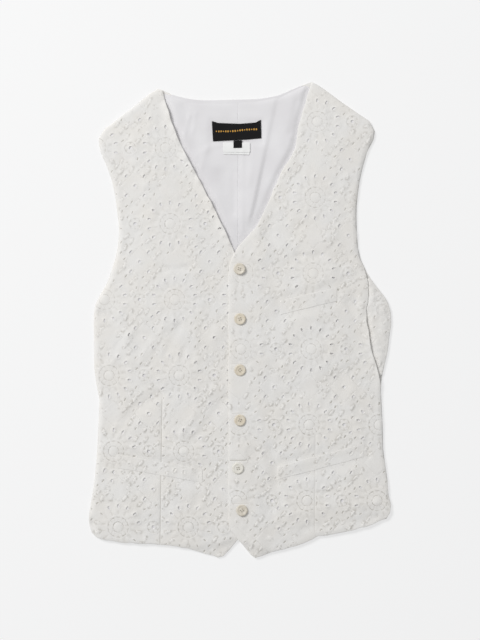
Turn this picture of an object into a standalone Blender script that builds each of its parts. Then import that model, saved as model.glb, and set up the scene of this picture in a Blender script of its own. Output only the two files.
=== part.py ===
"""An embroidered waistcoat, buttoned and laid flat on its back.

All sizes here are millimetres and are turned to metres when a mesh is made. X runs across the
waistcoat, +Y runs up to the shoulders and +Z points away from the surface it lies on. The origin is
the middle of the outline, on that surface. "Right" and "left" are the wearer's, so the right front
lies at -X and the left front, which buttons over it, at +X.
"""
import math

import bpy
import numpy as np
from mathutils import Vector
from mathutils.geometry import delaunay_2d_cdt

MM = 0.001

# Driving sizes
GAP = 0.3                # between pieces that meet at a seam or lie on each other
BACK_THICK = 1.8         # embroidered cloth with its backing
LINING_THICK = 1.0
FRONT_THICK = 2.0        # embroidered cloth, lined
TURN_THICK = 1.6         # the back's side where it turns over the fold
WELT_THICK = 1.4
LABEL_THICK = 0.8
SEAM_X = -2.8            # centre-back seam
OVERLAP_EDGE_X = -17.5   # the left front's buttoning edge
UNDER_EDGE_X = 10.5      # the right front's hidden edge under it
RIM_WIDTH = 9.0          # how far in from a side or shoulder the front starts to roll down
LINING_INSET = 10.5
NECK_EDGE_WIDTH = 5.6
PUFF = 1.7               # how far the fronts stand off the back in the middle of each panel
PUFF_WIDTH = 45.0
MESH_STEP = 18.0         # grid spacing inside a panel
FINE_STEP = 11.0         # and where the lining's folds show
HIDDEN_GRID = 60.0       # and in flat cloth that nothing shows of
EDGE_STEP = 9.0          # point spacing along an edge
HIDDEN_STEP = 14.0
BUTTON_RADIUS = 8.0
BUTTON_THICK = 2.8

# Outline edges of the waistcoat as it lies. Columns: x, y
SHOULDER_RIGHT = (
    (-189, 269), (-182, 273), (-170.8, 282.8), (-148.4, 299.6), (-126, 317.8), (-114.8, 324.6),
)
SIDE_RIGHT = (
    (-198.8, 254), (-196, 235), (-188, 217), (-179.5, 193), (-173.5, 160), (-170, 118), (-175.5, 84),
    (-181.5, 66), (-187.5, 50), (-197, 34), (-203, 22), (-205.3, 8), (-205, -25), (-204.5, -67),
    (-200.5, -95), (-197.5, -112), (-199, -150), (-201, -190), (-204.5, -224), (-208.5, -252),
    (-212, -272), (-212.5, -288),
)
HEM_RIGHT = (
    (-212.5, -288), (-209, -298), (-201.6, -304), (-193.2, -308), (-151.2, -313.6), (-114.8, -315.5),
    (-81.2, -319.2), (-47.6, -328), (-31, -332.5), (-23, -331.6), (-14, -322.4), (-2.8, -308), (10.5, -294),
)
SHOULDER_LEFT = ((182, 278), (165.2, 289.8), (142.8, 305.2), (120.4, 322), (109.2, 329.5), (102, 334))
SIDE_LEFT = (
    (189.5, 264), (187.5, 252), (178.5, 235), (173.5, 217), (168, 193), (164, 160), (164, 130),
    (166, 100), (170, 84), (178.5, 66), (189, 50), (202, 34), (208.5, 22), (212, 8), (212.3, -5),
    (210, -22), (207, -45), (202, -67), (198.3, -88), (198.5, -112), (200.5, -150), (201, -180),
    (203.5, -200), (207, -224), (208.5, -245), (212, -258), (211, -270),
)
HEM_LEFT = (
    (211, -270), (205, -278.5), (198.8, -281), (176.4, -289.8), (131.6, -300.6), (109.2, -304),
    (86.8, -315), (53.2, -323.4), (30.8, -331.6), (21, -333.6), (8.4, -322), (-2.8, -308), (-13.5, -295),
    (-17.2, -282),
)
NECK_BACK = (
    (-107.8, 322), (-96, 316.5), (-81.2, 312.2), (-56, 308.4), (-25, 308.7), (14, 309.6), (30.8, 310.8),
    (53.2, 315), (70, 322), (86.8, 329), (99.4, 333.6),
)
NECK_RIGHT = (
    (-107.8, 322), (-100.8, 298.2), (-93.8, 274.4), (-79.8, 242.2), (-65.8, 215.6), (-44.8, 175.7),
    (-29.4, 145.6), (-14, 112), (-5, 92), (4, 68), (10.5, 40),
)
NECK_LEFT = (
    (99.4, 333.6), (90, 304), (81.2, 273), (75.6, 240.8), (57.4, 208), (49, 190), (36.4, 161),
    (22.4, 133), (1.4, 109), (-8, 96), (-15, 80), (-17.5, 62),
)
HEM_BACK = (
    (-205, -270), (-196, -296), (-151, -304), (-115, -306), (-81, -309), (-40, -307), (-3, -297),
    (30, -305), (53, -312), (87, -305), (109, -294), (131.6, -291), (176.4, -280), (203, -262),
)
# The left side seam, where the front's edge lies on the back's side that turns over the fold
SEAM_LEFT = ((170, 84), (177, 66), (180.5, 50), (181, 34), (179.5, 22), (177.5, 8), (180.5, -14),
             (185.5, -42), (191, -63), (196, -79), (198.3, -92))
TURN_TOP_Y = 62.0
TURN_FOOT_Y = -86.0
TURN_UNDER = 6.5         # how far the turned side runs on under the front
TURN_RISE = 1.6

# Folds. Columns: x0, y0, x1, y1, half width, height (a trough's is negative)
LINING_FOLDS = (
    (60, 300, 46, 236, 11, 2.2),
    (46, 236, 29, 164, 10, 2.0),
    (29, 164, 15, 122, 7, 1.4),
    (27, 288, 16, 214, 8, 0.7),
    (3.2, 232, 2.2, 124, 5, 0.9),
    (-14, 196, -12, 130, 8, 0.6),
    (-68, 288, -71, 256, 5, 0.9),
    (-52, 240, -60, 206, 7, 0.7),
)
RIGHT_FRONT_FOLDS = (
    (-109, -105, -112, -318, 6, -1.3),
    (-128, 20, -60, -30, 16, 0.8),
    (-176, 40, -150, -60, 14, 0.9),
    (-120, 210, -60, 150, 16, 0.7),
    (-150, -120, -60, -80, 14, -0.8),
    (-180, -150, -150, -280, 14, 0.8),
    (-90, -180, -40, -290, 14, 0.6),
)
LEFT_FRONT_FOLDS = (
    (105, -160, 104, -302, 6, -1.3),
    (160, 150, 120, 60, 15, 0.8),
    (60, 120, 130, 90, 15, -0.7),
    (70, -60, 150, -20, 16, 0.8),
    (60, -110, 160, -70, 14, -0.8),
    (150, -110, 170, -170, 14, 0.7),
    (150, -220, 180, -280, 14, 0.8),
    (60, -240, 80, -310, 12, 0.6),
)

# Pocket welts: the lower edge from its inner to its outer end, and the depth.
# Columns: x0, y0, x1, y1, depth
CHEST_WELT = (56, 6.5, 136, 26, 21)
RIGHT_WELT = (-52, -228, -173, -207, 20)
LEFT_WELT = (52, -224, 174, -192, 20)

# Buttons down the overlap. Columns: x, y
BUTTONS = ((-0.7, 71.4), (0, 1.4), (0, -70), (0, -140), (-2.8, -207.2), (2.8, -266))

# Labels on the lining. Columns: left, right, top, bottom at the left, drop to the right
NECK_LABEL = (-39.2, 29.4, 278.0, 250.6, 1.2)
SIZE_TAB = (-9.1, 2.8, 248.6, 240.4, 0.2)
CARE_LABEL = (-23.8, 14.0, 248.6, 234.6, 0.4)

# The embroidery's repeat, a lattice of round suns with flowers and lozenges between them
REPEAT_X = 98.0
REPEAT_Y = 106.0
# Where one sun lies on each front. Columns: x, y, how far the lattice leans across for each unit up
LEFT_REPEAT_AT = (99.4, -40.6, 0.027)
RIGHT_REPEAT_AT = (-85.0, -77.5, -0.06)
RAYS = 14                # slots that point away from a sun, in a ring round it
RAY_RING = 29.5          # radius of that ring
ROW_X = 25.0             # half width and height of the row of slots round a lozenge
ROW_Y = 27.0
SLOT_LENGTH = 5.4
SLOT_WIDTH = 2.6
SLOT_TURN = math.radians(56)
EYELET = 4.6             # round eyelet in the middle of a flower or a lozenge
HOLE_MARGIN = 8.0        # cloth left between a hole and an edge, a pocket, a dart or the next hole


def curve(points, step=EDGE_STEP):
    """Points about a step apart on a smooth curve through the given ones."""
    p = [np.array(q, float) for q in points]
    p = [2 * p[0] - p[1], *p, 2 * p[-1] - p[-2]]
    out = []
    for a, b, c, d in zip(p, p[1:], p[2:], p[3:]):
        count = max(1, round(float(np.linalg.norm(c - b)) / step))
        for i in range(count):
            t = i / count
            out.append(0.5 * (2 * b + (c - a) * t + (2 * a - 5 * b + 4 * c - d) * t ** 2
                              + (3 * b - a - 3 * c + d) * t ** 3))
    return [*out, p[-2]]


def loop(*edges):
    """One closed outline from edges that follow each other, without its doubled points."""
    out = []
    for edge in edges:
        for p in edge:
            if not out or np.linalg.norm(p - out[-1]) > 1.5:
                out.append(np.array(p, float))
    while np.linalg.norm(out[0] - out[-1]) < 1.5:
        out.pop()
    area = sum(a[0] * b[1] - a[1] * b[0] for a, b in zip(out, out[1:] + out[:1]))
    return out if area > 0 else out[::-1]


def inset(outline, amount):
    """The outline moved in, which runs anticlockwise, without the points that a sharp corner folds back."""
    n = len(outline)
    out = []
    for i in range(n):
        along = outline[(i + 1) % n] - outline[i - 1]
        along /= np.linalg.norm(along)
        out.append(outline[i] + amount * np.array((-along[1], along[0])))
    clear = inside(out, outline) & (distance(out, outline) > 0.93 * amount)
    return loop([p for p, keep in zip(out, clear) if keep])


def clipped(outline, x, side):
    """The part of an outline that lies on one side of a line across x."""
    out = []
    for a, b in zip(outline, outline[1:] + outline[:1]):
        if (a[0] - x) * side >= 0:
            out.append(a)
        if (a[0] - x) * (b[0] - x) < 0:
            out.append(a + (b - a) * (x - a[0]) / (b[0] - a[0]))
    return loop(out)


def inside(points, outline):
    """Whether each point lies inside an outline."""
    p = np.asarray(points, float)
    found = np.zeros(len(p), bool)
    for a, b in zip(outline, outline[1:] + outline[:1]):
        if a[1] != b[1]:
            crosses = (a[1] > p[:, 1]) != (b[1] > p[:, 1])
            found ^= crosses & (p[:, 0] < a[0] + (p[:, 1] - a[1]) * (b[0] - a[0]) / (b[1] - a[1]))
    return found


def distance(points, line, closed=True):
    """Each point's distance from a line of points."""
    p = np.asarray(points, float)
    q = np.asarray(line, float)
    a, b = (q, np.roll(q, -1, axis=0)) if closed else (q[:-1], q[1:])
    ab = b - a
    t = ((p[:, None] - a) * ab).sum(2) / np.maximum((ab * ab).sum(1), 1e-9)
    near = a + np.clip(t, 0, 1)[..., None] * ab
    return np.linalg.norm(p[:, None] - near, axis=2).min(1)


def smooth(value):
    """0 below 0, 1 above 1, with a soft step between."""
    t = np.clip(value, 0, 1)
    return t * t * (3 - 2 * t)


def folds(points, table):
    """The height that soft ridges and troughs give each point."""
    p = np.asarray(points, float)
    height = np.zeros(len(p))
    for x0, y0, x1, y1, half, rise in table:
        a = np.array((x0, y0), float)
        ab = np.array((x1, y1), float) - a
        t = ((p - a) @ ab) / (ab @ ab)
        off = np.linalg.norm(p - a - np.clip(t, 0, 1)[:, None] * ab, axis=1)
        height += rise * (1 - smooth(off / half)) * (0.75 + 0.25 * np.cos(2 * math.pi * t))
    return height


def staggered(low, high, step):
    """Rows of points in a box, every other row moved half a step along."""
    return np.array([
        (x + step / 2 * (row % 2), y)
        for row, y in enumerate(np.arange(low[1] + step / 2, high[1], step * 0.87))
        for x in np.arange(low[0] + step / 2, high[0], step)
    ]).reshape(-1, 2)


def triangulated(outline, holes=(), patches=(), step=MESH_STEP, fine=None, fine_step=MESH_STEP):
    """Points and triangles that fill an outline, without its holes. A patch's edge keeps its line,
    and the points lie closer together in the fine area."""
    points = []
    edges = []
    for ring in (outline, *holes, *patches):
        first = len(points)
        points += ring
        edges += [(first + i, first + (i + 1) % len(ring)) for i in range(len(ring))]
    low, high = np.min(outline, axis=0), np.max(outline, axis=0)
    grid = staggered(low, high, step)
    if fine is not None:
        close = staggered(low, high, fine_step)
        grid = np.concatenate((grid[~inside(grid, fine)], close[inside(close, fine)]))
        step = fine_step
    grid = grid[inside(grid, outline)]
    for ring in (outline, *patches):
        grid = grid[distance(grid, ring) > 0.42 * step]
    for ring in holes:
        grid = grid[distance(grid, ring) > 0.3 * step]
    points += list(grid)
    made = delaunay_2d_cdt([Vector(p) for p in points], edges, [], 0, 1e-5)
    flat = np.array([(v.x, v.y) for v in made[0]])
    triangles = np.array([f for f in made[2] if len(f) == 3])
    a, b, c = (flat[triangles[:, i]] for i in range(3))
    turn = (b[:, 0] - a[:, 0]) * (c[:, 1] - a[:, 1]) - (b[:, 1] - a[:, 1]) * (c[:, 0] - a[:, 0])
    triangles[turn < 0] = triangles[turn < 0][:, ::-1]
    middle = (a + b + c) / 3
    keep = inside(middle, outline) & (np.abs(turn) > 1e-6)
    for ring in holes:
        keep &= ~inside(middle, ring)
    return flat, triangles[keep]


def patch(flat, triangles, outline):
    """The triangles of a panel that lie under one patch."""
    return triangles[inside(flat[triangles].mean(axis=1), outline)]


def material(name, colour, roughness):
    made = bpy.data.materials.new(name)
    made.use_nodes = True
    shader = made.node_tree.nodes["Principled BSDF"]
    shader.inputs["Base Color"].default_value = (*colour, 1)
    shader.inputs["Roughness"].default_value = roughness
    shader.inputs["Metallic"].default_value = 0
    return made


def add_object(name, vertices, faces, finish):
    mesh = bpy.data.meshes.new(name)
    mesh.from_pydata([tuple(float(c) * MM for c in v) for v in vertices], [], faces)
    mesh.materials.append(finish)
    mesh.shade_smooth()
    mesh.set_sharp_from_angle(angle=math.radians(50))
    made = bpy.data.objects.new(name, mesh)
    bpy.context.scene.collection.objects.link(made)
    return made


def cloth(name, flat, triangles, under, thick, finish):
    """A wall of cloth: a panel's triangles at the height of its underside, the same ones a thickness
    higher, and the cut edges that join them."""
    used, index = np.unique(triangles, return_inverse=True)
    tri = index.reshape(-1, 3)
    plan = flat[used]
    low = under(plan)
    n = len(plan)
    vertices = [(*p, z) for p, z in zip(plan, low)] + [(*p, z + thick) for p, z in zip(plan, low)]
    ways = {(int(t[i]), int(t[(i + 1) % 3])) for t in tri for i in range(3)}
    faces = [(int(c), int(b), int(a)) for a, b, c in tri]
    faces += [(int(a) + n, int(b) + n, int(c) + n) for a, b, c in tri]
    faces += [(a, b, b + n, a + n) for a, b in sorted(ways) if (b, a) not in ways]
    return add_object(name, vertices, faces, finish)


def welt_outline(welt):
    x0, y0, x1, y1, depth = welt
    a, b = np.array((x0, y0), float), np.array((x1, y1), float)
    up = np.array((0.0, depth))
    return loop(curve((a, b), 14), curve((b, b + up), 10), curve((b + up, a + up), 14),
                curve((a + up, a), 10))


def label_outline(label):
    left, right, top, foot, drop = label
    corners = ((left, foot), (right, foot - drop), (right, top - drop), (left, top), (left, foot))
    return loop(*(curve(pair) for pair in zip(corners, corners[1:])))


def outlines():
    """The closed outline of each panel, and of the whole back."""
    side_left_low = [p for p in curve(SIDE_LEFT) if p[1] < SEAM_LEFT[-1][1]]
    side_left_high = [p for p in curve(SIDE_LEFT) if p[1] > SEAM_LEFT[0][1]]
    back = loop(curve(NECK_BACK), curve(SHOULDER_LEFT[::-1], HIDDEN_STEP), curve(SIDE_LEFT, HIDDEN_STEP),
                curve(HEM_BACK[::-1], HIDDEN_STEP), curve(SIDE_RIGHT[::-1], HIDDEN_STEP),
                curve(SHOULDER_RIGHT, HIDDEN_STEP))
    right = loop(curve(NECK_RIGHT), curve(((10.5, 40), HEM_RIGHT[-1])), curve(HEM_RIGHT[::-1]),
                 curve(SIDE_RIGHT[::-1]), curve(SHOULDER_RIGHT))
    left = loop(curve(NECK_LEFT), curve((NECK_LEFT[-1], HEM_LEFT[-1])), curve(HEM_LEFT[::-1]),
                side_left_low[::-1], curve(SEAM_LEFT[::-1]), side_left_high[::-1], curve(SHOULDER_LEFT))
    return back, right, left


def lattice(at):
    """The places of the suns, and of one repeat's other motifs, over the whole waistcoat."""
    for i in range(-4, 5):
        for j in range(-6, 7):
            yield i, j, np.array((at[0] + REPEAT_X * i + at[2] * REPEAT_Y * j, at[1] + REPEAT_Y * j))


def ring(centre, length, width, angle, sides=6):
    """A round or long eyelet's edge."""
    turn = np.array(((math.cos(angle), -math.sin(angle)), (math.sin(angle), math.cos(angle))))
    return [centre + turn @ np.array((length / 2 * math.cos(a), width / 2 * math.sin(a)))
            for a in (2 * math.pi * k / sides for k in range(sides))]


def eyelets(at):
    """The largest holes of each repeat: eyelets in its flower and lozenge, a ring of slots round its sun,
    and a slot on each side of its lozenge."""
    for i, j, sun in lattice(at):
        flower = sun + np.array((REPEAT_X / 2, 0))
        lozenge = sun + np.array((REPEAT_X / 2, REPEAT_Y / 2))
        yield flower, ring(flower, EYELET, EYELET, 0)
        yield lozenge, ring(lozenge, EYELET, EYELET, 0)
        for k in range(RAYS):
            away = 2 * math.pi * (k + 0.5) / RAYS
            place = sun + RAY_RING * np.array((math.cos(away), math.sin(away)))
            yield place, ring(place, SLOT_LENGTH, SLOT_WIDTH, away)
        for across, up in ((1, 1), (-1, 1), (-1, -1), (1, -1)):
            place = lozenge + np.array((across * ROW_X, up * ROW_Y)) / 2
            yield place, ring(place, SLOT_LENGTH, SLOT_WIDTH, SLOT_TURN)


def holes_in(outline, at, keep_off, darts):
    """The eyelets that fall on a panel, clear of its edge, its pockets, its buttons and its dart."""
    found = []
    for centre, edge in eyelets(at):
        p = centre[None]
        clear = inside(p, outline)[0] and distance(p, outline)[0] > RIM_WIDTH + 4
        clear = clear and not any(
            inside(p, area)[0] or distance(p, area)[0] < HOLE_MARGIN for area in keep_off)
        clear = clear and all(distance(p, line, False)[0] > HOLE_MARGIN for line in darts)
        clear = clear and all(np.linalg.norm(centre - other) > HOLE_MARGIN for other, _ in found)
        if clear:
            found.append((centre, edge))
    return [edge for _, edge in found]


def front_height(outline, hem_line, table, calm, over):
    """The height of a front's underside: on the lining, rolled down at the side and the shoulder,
    standing off a little in the middle, and drooping where it hangs past the back's hem."""
    lining_top = BACK_THICK + LINING_THICK + 2 * GAP
    rest = lining_top + GAP
    neck = curve(NECK_LEFT if over else NECK_RIGHT)
    sewn = [*curve(SHOULDER_LEFT[::-1]), *curve(SIDE_LEFT)] if over else [
        *curve(SHOULDER_RIGHT[::-1]), *curve(SIDE_RIGHT)]

    def height(plan):
        from_edge = distance(plan, outline)
        from_neck = distance(plan, neck, False)
        hem_y = np.interp(plan[:, 0], *np.transpose(hem_line))
        past_hem = smooth((hem_y - (10 if over else 4) - plan[:, 1]) / 14)
        near_middle = smooth((46 - plan[:, 0]) / 22) if over else np.zeros(len(plan))
        by_overlap = smooth((OVERLAP_EDGE_X - 20 - plan[:, 0]) / 30) if not over else 1 - near_middle
        at_side = (1 - smooth(distance(plan, sewn, False) / RIM_WIDTH)) * (plan[:, 1] > hem_y)
        free = smooth(from_edge / PUFF_WIDTH) * by_overlap
        if calm:
            off = [distance(plan, area) * ~inside(plan, area) for area in calm]
            free = free * smooth(np.min(off, 0) / 14)
        low = rest + (FRONT_THICK + GAP) * near_middle
        low += (PUFF * smooth(from_edge / PUFF_WIDTH) + folds(plan, table)
                * smooth(from_edge / 12) * smooth(from_neck / 25)) * free
        low = np.maximum(low, rest + (FRONT_THICK + GAP) * near_middle)
        low -= at_side * (LINING_THICK + GAP)
        if over:
            on_turn = (plan[:, 1] < TURN_TOP_Y + 12) & (plan[:, 1] > TURN_FOOT_Y - 8) & (plan[:, 0] > 150)
            low = np.where(on_turn, np.maximum(low, turn_seat(plan)), low)
        return low - 2.6 * past_hem

    return height


def turn_seat(plan):
    """The height that the left front needs over the back's turned side."""
    from_seam = distance(plan, curve(SEAM_LEFT), False)
    along = smooth((TURN_TOP_Y + 12 - plan[:, 1]) / 14) * smooth((plan[:, 1] - TURN_FOOT_Y + 8) / 10)
    top = BACK_THICK + GAP + TURN_THICK + GAP
    return (BACK_THICK + GAP) + (top - BACK_THICK - GAP) * along * smooth((26 - from_seam) / 12)


def turned_side_height(plan):
    """The height of the turned side's underside: a soft roll between the fold and the seam."""
    from_fold = distance(plan, curve(SIDE_LEFT), False)
    from_seam = distance(plan, curve(SEAM_LEFT), False)
    under_front = inside(plan, outlines()[2])
    roll = smooth((from_fold - 0.8) / 9) * smooth(np.where(under_front, 0, from_seam) / 7)
    return BACK_THICK + GAP + TURN_RISE * roll


def turned_side_outline(under):
    """The strip between the side fold and a line that lies some way under the front's seam edge."""
    outer = [p + np.array((-0.8, 0)) for p in curve(SIDE_LEFT) if TURN_FOOT_Y < p[1] < TURN_TOP_Y]
    inner = [p + np.array((-under, 0)) for p in curve(SEAM_LEFT) if TURN_FOOT_Y < p[1] < TURN_TOP_Y]
    return loop(outer, inner[::-1])


def lining_height(neck_area):
    """The lining's underside: on the back, with the folds that show in the neck's V."""

    def height(plan):
        depth = distance(plan, neck_area) * inside(plan, neck_area)
        labels = [label_outline(label) for label in (NECK_LABEL, SIZE_TAB, CARE_LABEL)]
        off_label = np.min([distance(plan, area) * ~inside(plan, area) for area in labels], 0)
        calm = smooth((depth - 3) / 10) * smooth(off_label / 8)
        return BACK_THICK + GAP + np.maximum(0, folds(plan, LINING_FOLDS)) * calm

    return height


def button(name, x, y, z, finish, segments=16):
    """A turned button: a flat back, a round edge, a raised rim and a dished middle."""
    profile = (
        (0.62, 0.0), (0.93, 0.28), (1.0, 0.62), (0.9, 1.0), (0.74, 0.98), (0.55, 0.66),
    )
    vertices = [(x, y, z)]
    for r, h in profile:
        for k in range(segments):
            a = 2 * math.pi * k / segments
            vertices.append((x + BUTTON_RADIUS * r * math.cos(a), y + BUTTON_RADIUS * r * math.sin(a),
                             z + BUTTON_THICK * h))
    vertices.append((x, y, z + BUTTON_THICK * 0.6))
    top = len(vertices) - 1
    faces = []
    for k in range(segments):
        following = (k + 1) % segments
        faces.append((0, 1 + following, 1 + k))
        for level in range(len(profile) - 1):
            a = 1 + level * segments
            faces.append((a + k, a + following, a + segments + following, a + segments + k))
        last = 1 + (len(profile) - 1) * segments
        faces.append((top, last + k, last + following))
    return add_object(name, vertices, faces, finish)


def build_back(back, cloth_finish, lining_finish):
    """The two halves of the back, flat on the surface, and the turned edge of its neck."""
    cut = inset(back, 0.6)
    for name, side in (("back_right", -1), ("back_left", 1)):
        outline = clipped(cut, SEAM_X + side * GAP / 2, side)
        flat, triangles = triangulated(outline, step=HIDDEN_GRID)
        cloth(name, flat, triangles, lambda plan: np.zeros(len(plan)), BACK_THICK, cloth_finish)
    upper = curve(NECK_BACK[1:-1])
    band = loop([p + np.array((0, -0.8)) for p in upper],
                [p + np.array((0, -0.8 - NECK_EDGE_WIDTH)) for p in upper[::-1]])
    flat, triangles = triangulated(band)
    cloth("back_neck_edge", flat, triangles, lambda plan: np.full(len(plan), BACK_THICK + GAP), 1.6,
          lining_finish)


def build_lining(lining_finish, label_finishes):
    """The lining of both back halves, and the labels sewn to it at the neck."""
    side = curve(SIDE_LEFT, HIDDEN_STEP)
    neck = [p + np.array((0, LINING_INSET - NECK_EDGE_WIDTH - 1.3)) for p in curve(NECK_BACK)]
    whole = inset(loop(neck, curve(SHOULDER_LEFT[::-1], HIDDEN_STEP),
                       [p for p in side if p[1] > SEAM_LEFT[0][1]], curve(SEAM_LEFT),
                       [p for p in side if p[1] < SEAM_LEFT[-1][1]], curve(HEM_BACK[::-1], HIDDEN_STEP),
                       curve(SIDE_RIGHT[::-1], HIDDEN_STEP), curve(SHOULDER_RIGHT, HIDDEN_STEP)),
                  LINING_INSET)
    neck_area = loop(curve(NECK_RIGHT[:8]), curve(NECK_LEFT[8::-1]), curve(NECK_BACK[::-1]))
    height = lining_height(neck_area)
    top = lambda plan: height(plan) + LINING_THICK + GAP
    for name, side in (("lining_right", -1), ("lining_left", 1)):
        outline = clipped(whole, SEAM_X + side * GAP / 2, side)
        kept = (neck_area, label_outline(NECK_LABEL), label_outline(CARE_LABEL))
        under = [clipped(area, SEAM_X + side * GAP / 2, side) for area in kept]
        flat, triangles = triangulated(outline, (), under, HIDDEN_GRID, neck_area, FINE_STEP)
        cloth(name, flat, triangles, height, LINING_THICK, lining_finish)
    for name, label, lift in (("neck_label", NECK_LABEL, 0), ("care_label", CARE_LABEL, 0),
                              ("size_tab", SIZE_TAB, LABEL_THICK + GAP)):
        flat, triangles = triangulated(label_outline(label))
        cloth(name, flat, triangles, lambda plan: top(plan) + lift, LABEL_THICK, label_finishes[name])


def build_front(name, outline, at, table, welts, over, finish):
    """One front with its eyelets cut through, and the pocket welts that lie on it."""
    areas = {welt_name: welt_outline(welt) for welt_name, welt in welts.items()}
    darts = [curve(((table[0][0], table[0][1]), (table[0][2], table[0][3])))]
    middle_strip = loop(curve(((OVERLAP_EDGE_X - 3, 90), (UNDER_EDGE_X + 2, 90)), 20),
                        curve(((UNDER_EDGE_X + 2, 90), (UNDER_EDGE_X + 2, -330)), 30),
                        curve(((UNDER_EDGE_X + 2, -330), (OVERLAP_EDGE_X - 3, -330)), 20),
                        curve(((OVERLAP_EDGE_X - 3, -330), (OVERLAP_EDGE_X - 3, 90)), 30))
    holes = holes_in(outline, at, [*areas.values(), middle_strip], darts)
    flat, triangles = triangulated(outline, holes, [*areas.values(), inset(outline, RIM_WIDTH)])
    height = front_height(outline, curve(HEM_BACK), table, list(areas.values()), over)
    cloth(name, flat, triangles, height, FRONT_THICK, finish)
    for welt_name, area in areas.items():
        cloth(welt_name, flat, patch(flat, triangles, area),
              lambda plan: height(plan) + FRONT_THICK + GAP, WELT_THICK, finish)


def main():
    for old in list(bpy.data.objects):
        bpy.data.objects.remove(old, do_unlink=True)
    eyelet_cloth = material("eyelet_cloth", (0.76, 0.755, 0.725), 0.9)
    lining = material("lining_cotton", (0.74, 0.745, 0.77), 0.8)
    shell = material("button_shell", (0.56, 0.5, 0.4), 0.35)
    label_black = material("label_black", (0.012, 0.011, 0.012), 0.7)
    label_white = material("label_white", (0.8, 0.8, 0.78), 0.75)
    back, right, left = outlines()
    build_back(back, eyelet_cloth, lining)
    build_lining(lining, {"neck_label": label_black, "size_tab": label_black, "care_label": label_white})
    flat, triangles = triangulated(turned_side_outline(TURN_UNDER), (), [turned_side_outline(0)], step=10)
    cloth("back_left_turn", flat, triangles, turned_side_height, TURN_THICK, eyelet_cloth)
    build_front("front_right", right, RIGHT_REPEAT_AT, RIGHT_FRONT_FOLDS, {"waist_welt_right": RIGHT_WELT},
                False, eyelet_cloth)
    build_front("front_left", left, LEFT_REPEAT_AT, LEFT_FRONT_FOLDS,
                {"chest_welt": CHEST_WELT, "waist_welt_left": LEFT_WELT}, True, eyelet_cloth)
    on_overlap = BACK_THICK + LINING_THICK + 2 * FRONT_THICK + 5 * GAP
    for number, (x, y) in enumerate(BUTTONS, 1):
        button(f"button_{number}", x, y, on_overlap, shell)


main()
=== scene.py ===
"""The looks of an embroidered waistcoat, buttoned and laid flat on its back.

Sizes are millimetres, as in the part, and are turned to metres when a mesh is made. "Right" and "left"
are the wearer's, so the right front lies at -X and the left front, which buttons over it, at +X. Only a
label's left and right are those of its reader.
"""
import math
import random

import bpy
import numpy as np
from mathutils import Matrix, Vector, kdtree, noise
from mathutils.geometry import delaunay_2d_cdt


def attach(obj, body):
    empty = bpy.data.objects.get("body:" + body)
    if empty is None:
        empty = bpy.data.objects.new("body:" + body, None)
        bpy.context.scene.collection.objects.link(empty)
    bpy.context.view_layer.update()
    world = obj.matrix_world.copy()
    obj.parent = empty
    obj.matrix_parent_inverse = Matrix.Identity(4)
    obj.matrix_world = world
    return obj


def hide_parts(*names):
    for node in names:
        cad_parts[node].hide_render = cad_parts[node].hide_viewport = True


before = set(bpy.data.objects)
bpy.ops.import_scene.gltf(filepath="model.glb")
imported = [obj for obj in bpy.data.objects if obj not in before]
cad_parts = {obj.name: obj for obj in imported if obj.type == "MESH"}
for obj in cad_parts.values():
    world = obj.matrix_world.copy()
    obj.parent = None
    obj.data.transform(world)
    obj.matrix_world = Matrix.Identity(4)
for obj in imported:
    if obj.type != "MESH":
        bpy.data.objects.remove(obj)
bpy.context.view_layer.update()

MM = 0.001

# Driving sizes
GAP = 0.3                # between pieces that meet at a seam or lie on each other
BACK_THICK = 1.8         # embroidered cloth with its backing
LINING_THICK = 1.0
FRONT_THICK = 2.0        # embroidered cloth, lined
TURN_THICK = 1.6         # the back's side where it turns over the fold
SEAM_X = -2.8            # centre-back seam
OVERLAP_EDGE_X = -17.5   # the left front's buttoning edge
UNDER_OVERLAP = 20       # how far from the overlap's edge the right front lies flat
UNDER_SLOPE = 30
POCKET_CALM = 14         # how far round a pocket a front lies nearly flat
FOLDS_FROM_EDGE = 12     # how far in from an edge and from the neck the folds reach their height
FOLDS_FROM_NECK = 25
OVERLAP_FOOT_X = 46      # where the left front is down on the lining again, beside the overlap
OVERLAP_SLOPE = 22       # width over which it comes down
DROOP = 2.6              # how far a front hangs down past the back's hem
DROOP_WIDTH = 14
DROOP_FROM = (4, 10)     # how far past the hem it starts to, on the right front and on the left
RIM_WIDTH = 9.0          # how far in from a side or shoulder the front starts to roll down
LINING_INSET = 10.5
NECK_EDGE_WIDTH = 5.6
PUFF = 1.2               # how far the fronts stand off the back in the middle of each panel
PUFF_WIDTH = 45.0
EDGE_STEP = 9.0          # point spacing along an edge
HIDDEN_STEP = 14.0
BUTTON_RADIUS = 8.0

# Outline edges of the waistcoat as it lies. Columns: x, y
SHOULDER_RIGHT = (
    (-189, 269), (-182, 273), (-170.8, 282.8), (-148.4, 299.6), (-126, 317.8), (-114.8, 324.6),
)
SIDE_RIGHT = (
    (-198.8, 254), (-196, 235), (-188, 217), (-179.5, 193), (-173.5, 160), (-170, 118), (-175.5, 84),
    (-181.5, 66), (-187.5, 50), (-197, 34), (-203, 22), (-205.3, 8), (-205, -25), (-204.5, -67),
    (-200.5, -95), (-197.5, -112), (-199, -150), (-201, -190), (-204.5, -224), (-208.5, -252),
    (-212, -272), (-212.5, -288),
)
HEM_RIGHT = (
    (-212.5, -288), (-209, -298), (-201.6, -304), (-193.2, -308), (-151.2, -313.6), (-114.8, -315.5),
    (-81.2, -319.2), (-47.6, -328), (-31, -332.5), (-23, -331.6), (-14, -322.4), (-2.8, -308), (10.5, -294),
)
SHOULDER_LEFT = ((182, 278), (165.2, 289.8), (142.8, 305.2), (120.4, 322), (109.2, 329.5), (102, 334))
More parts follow.
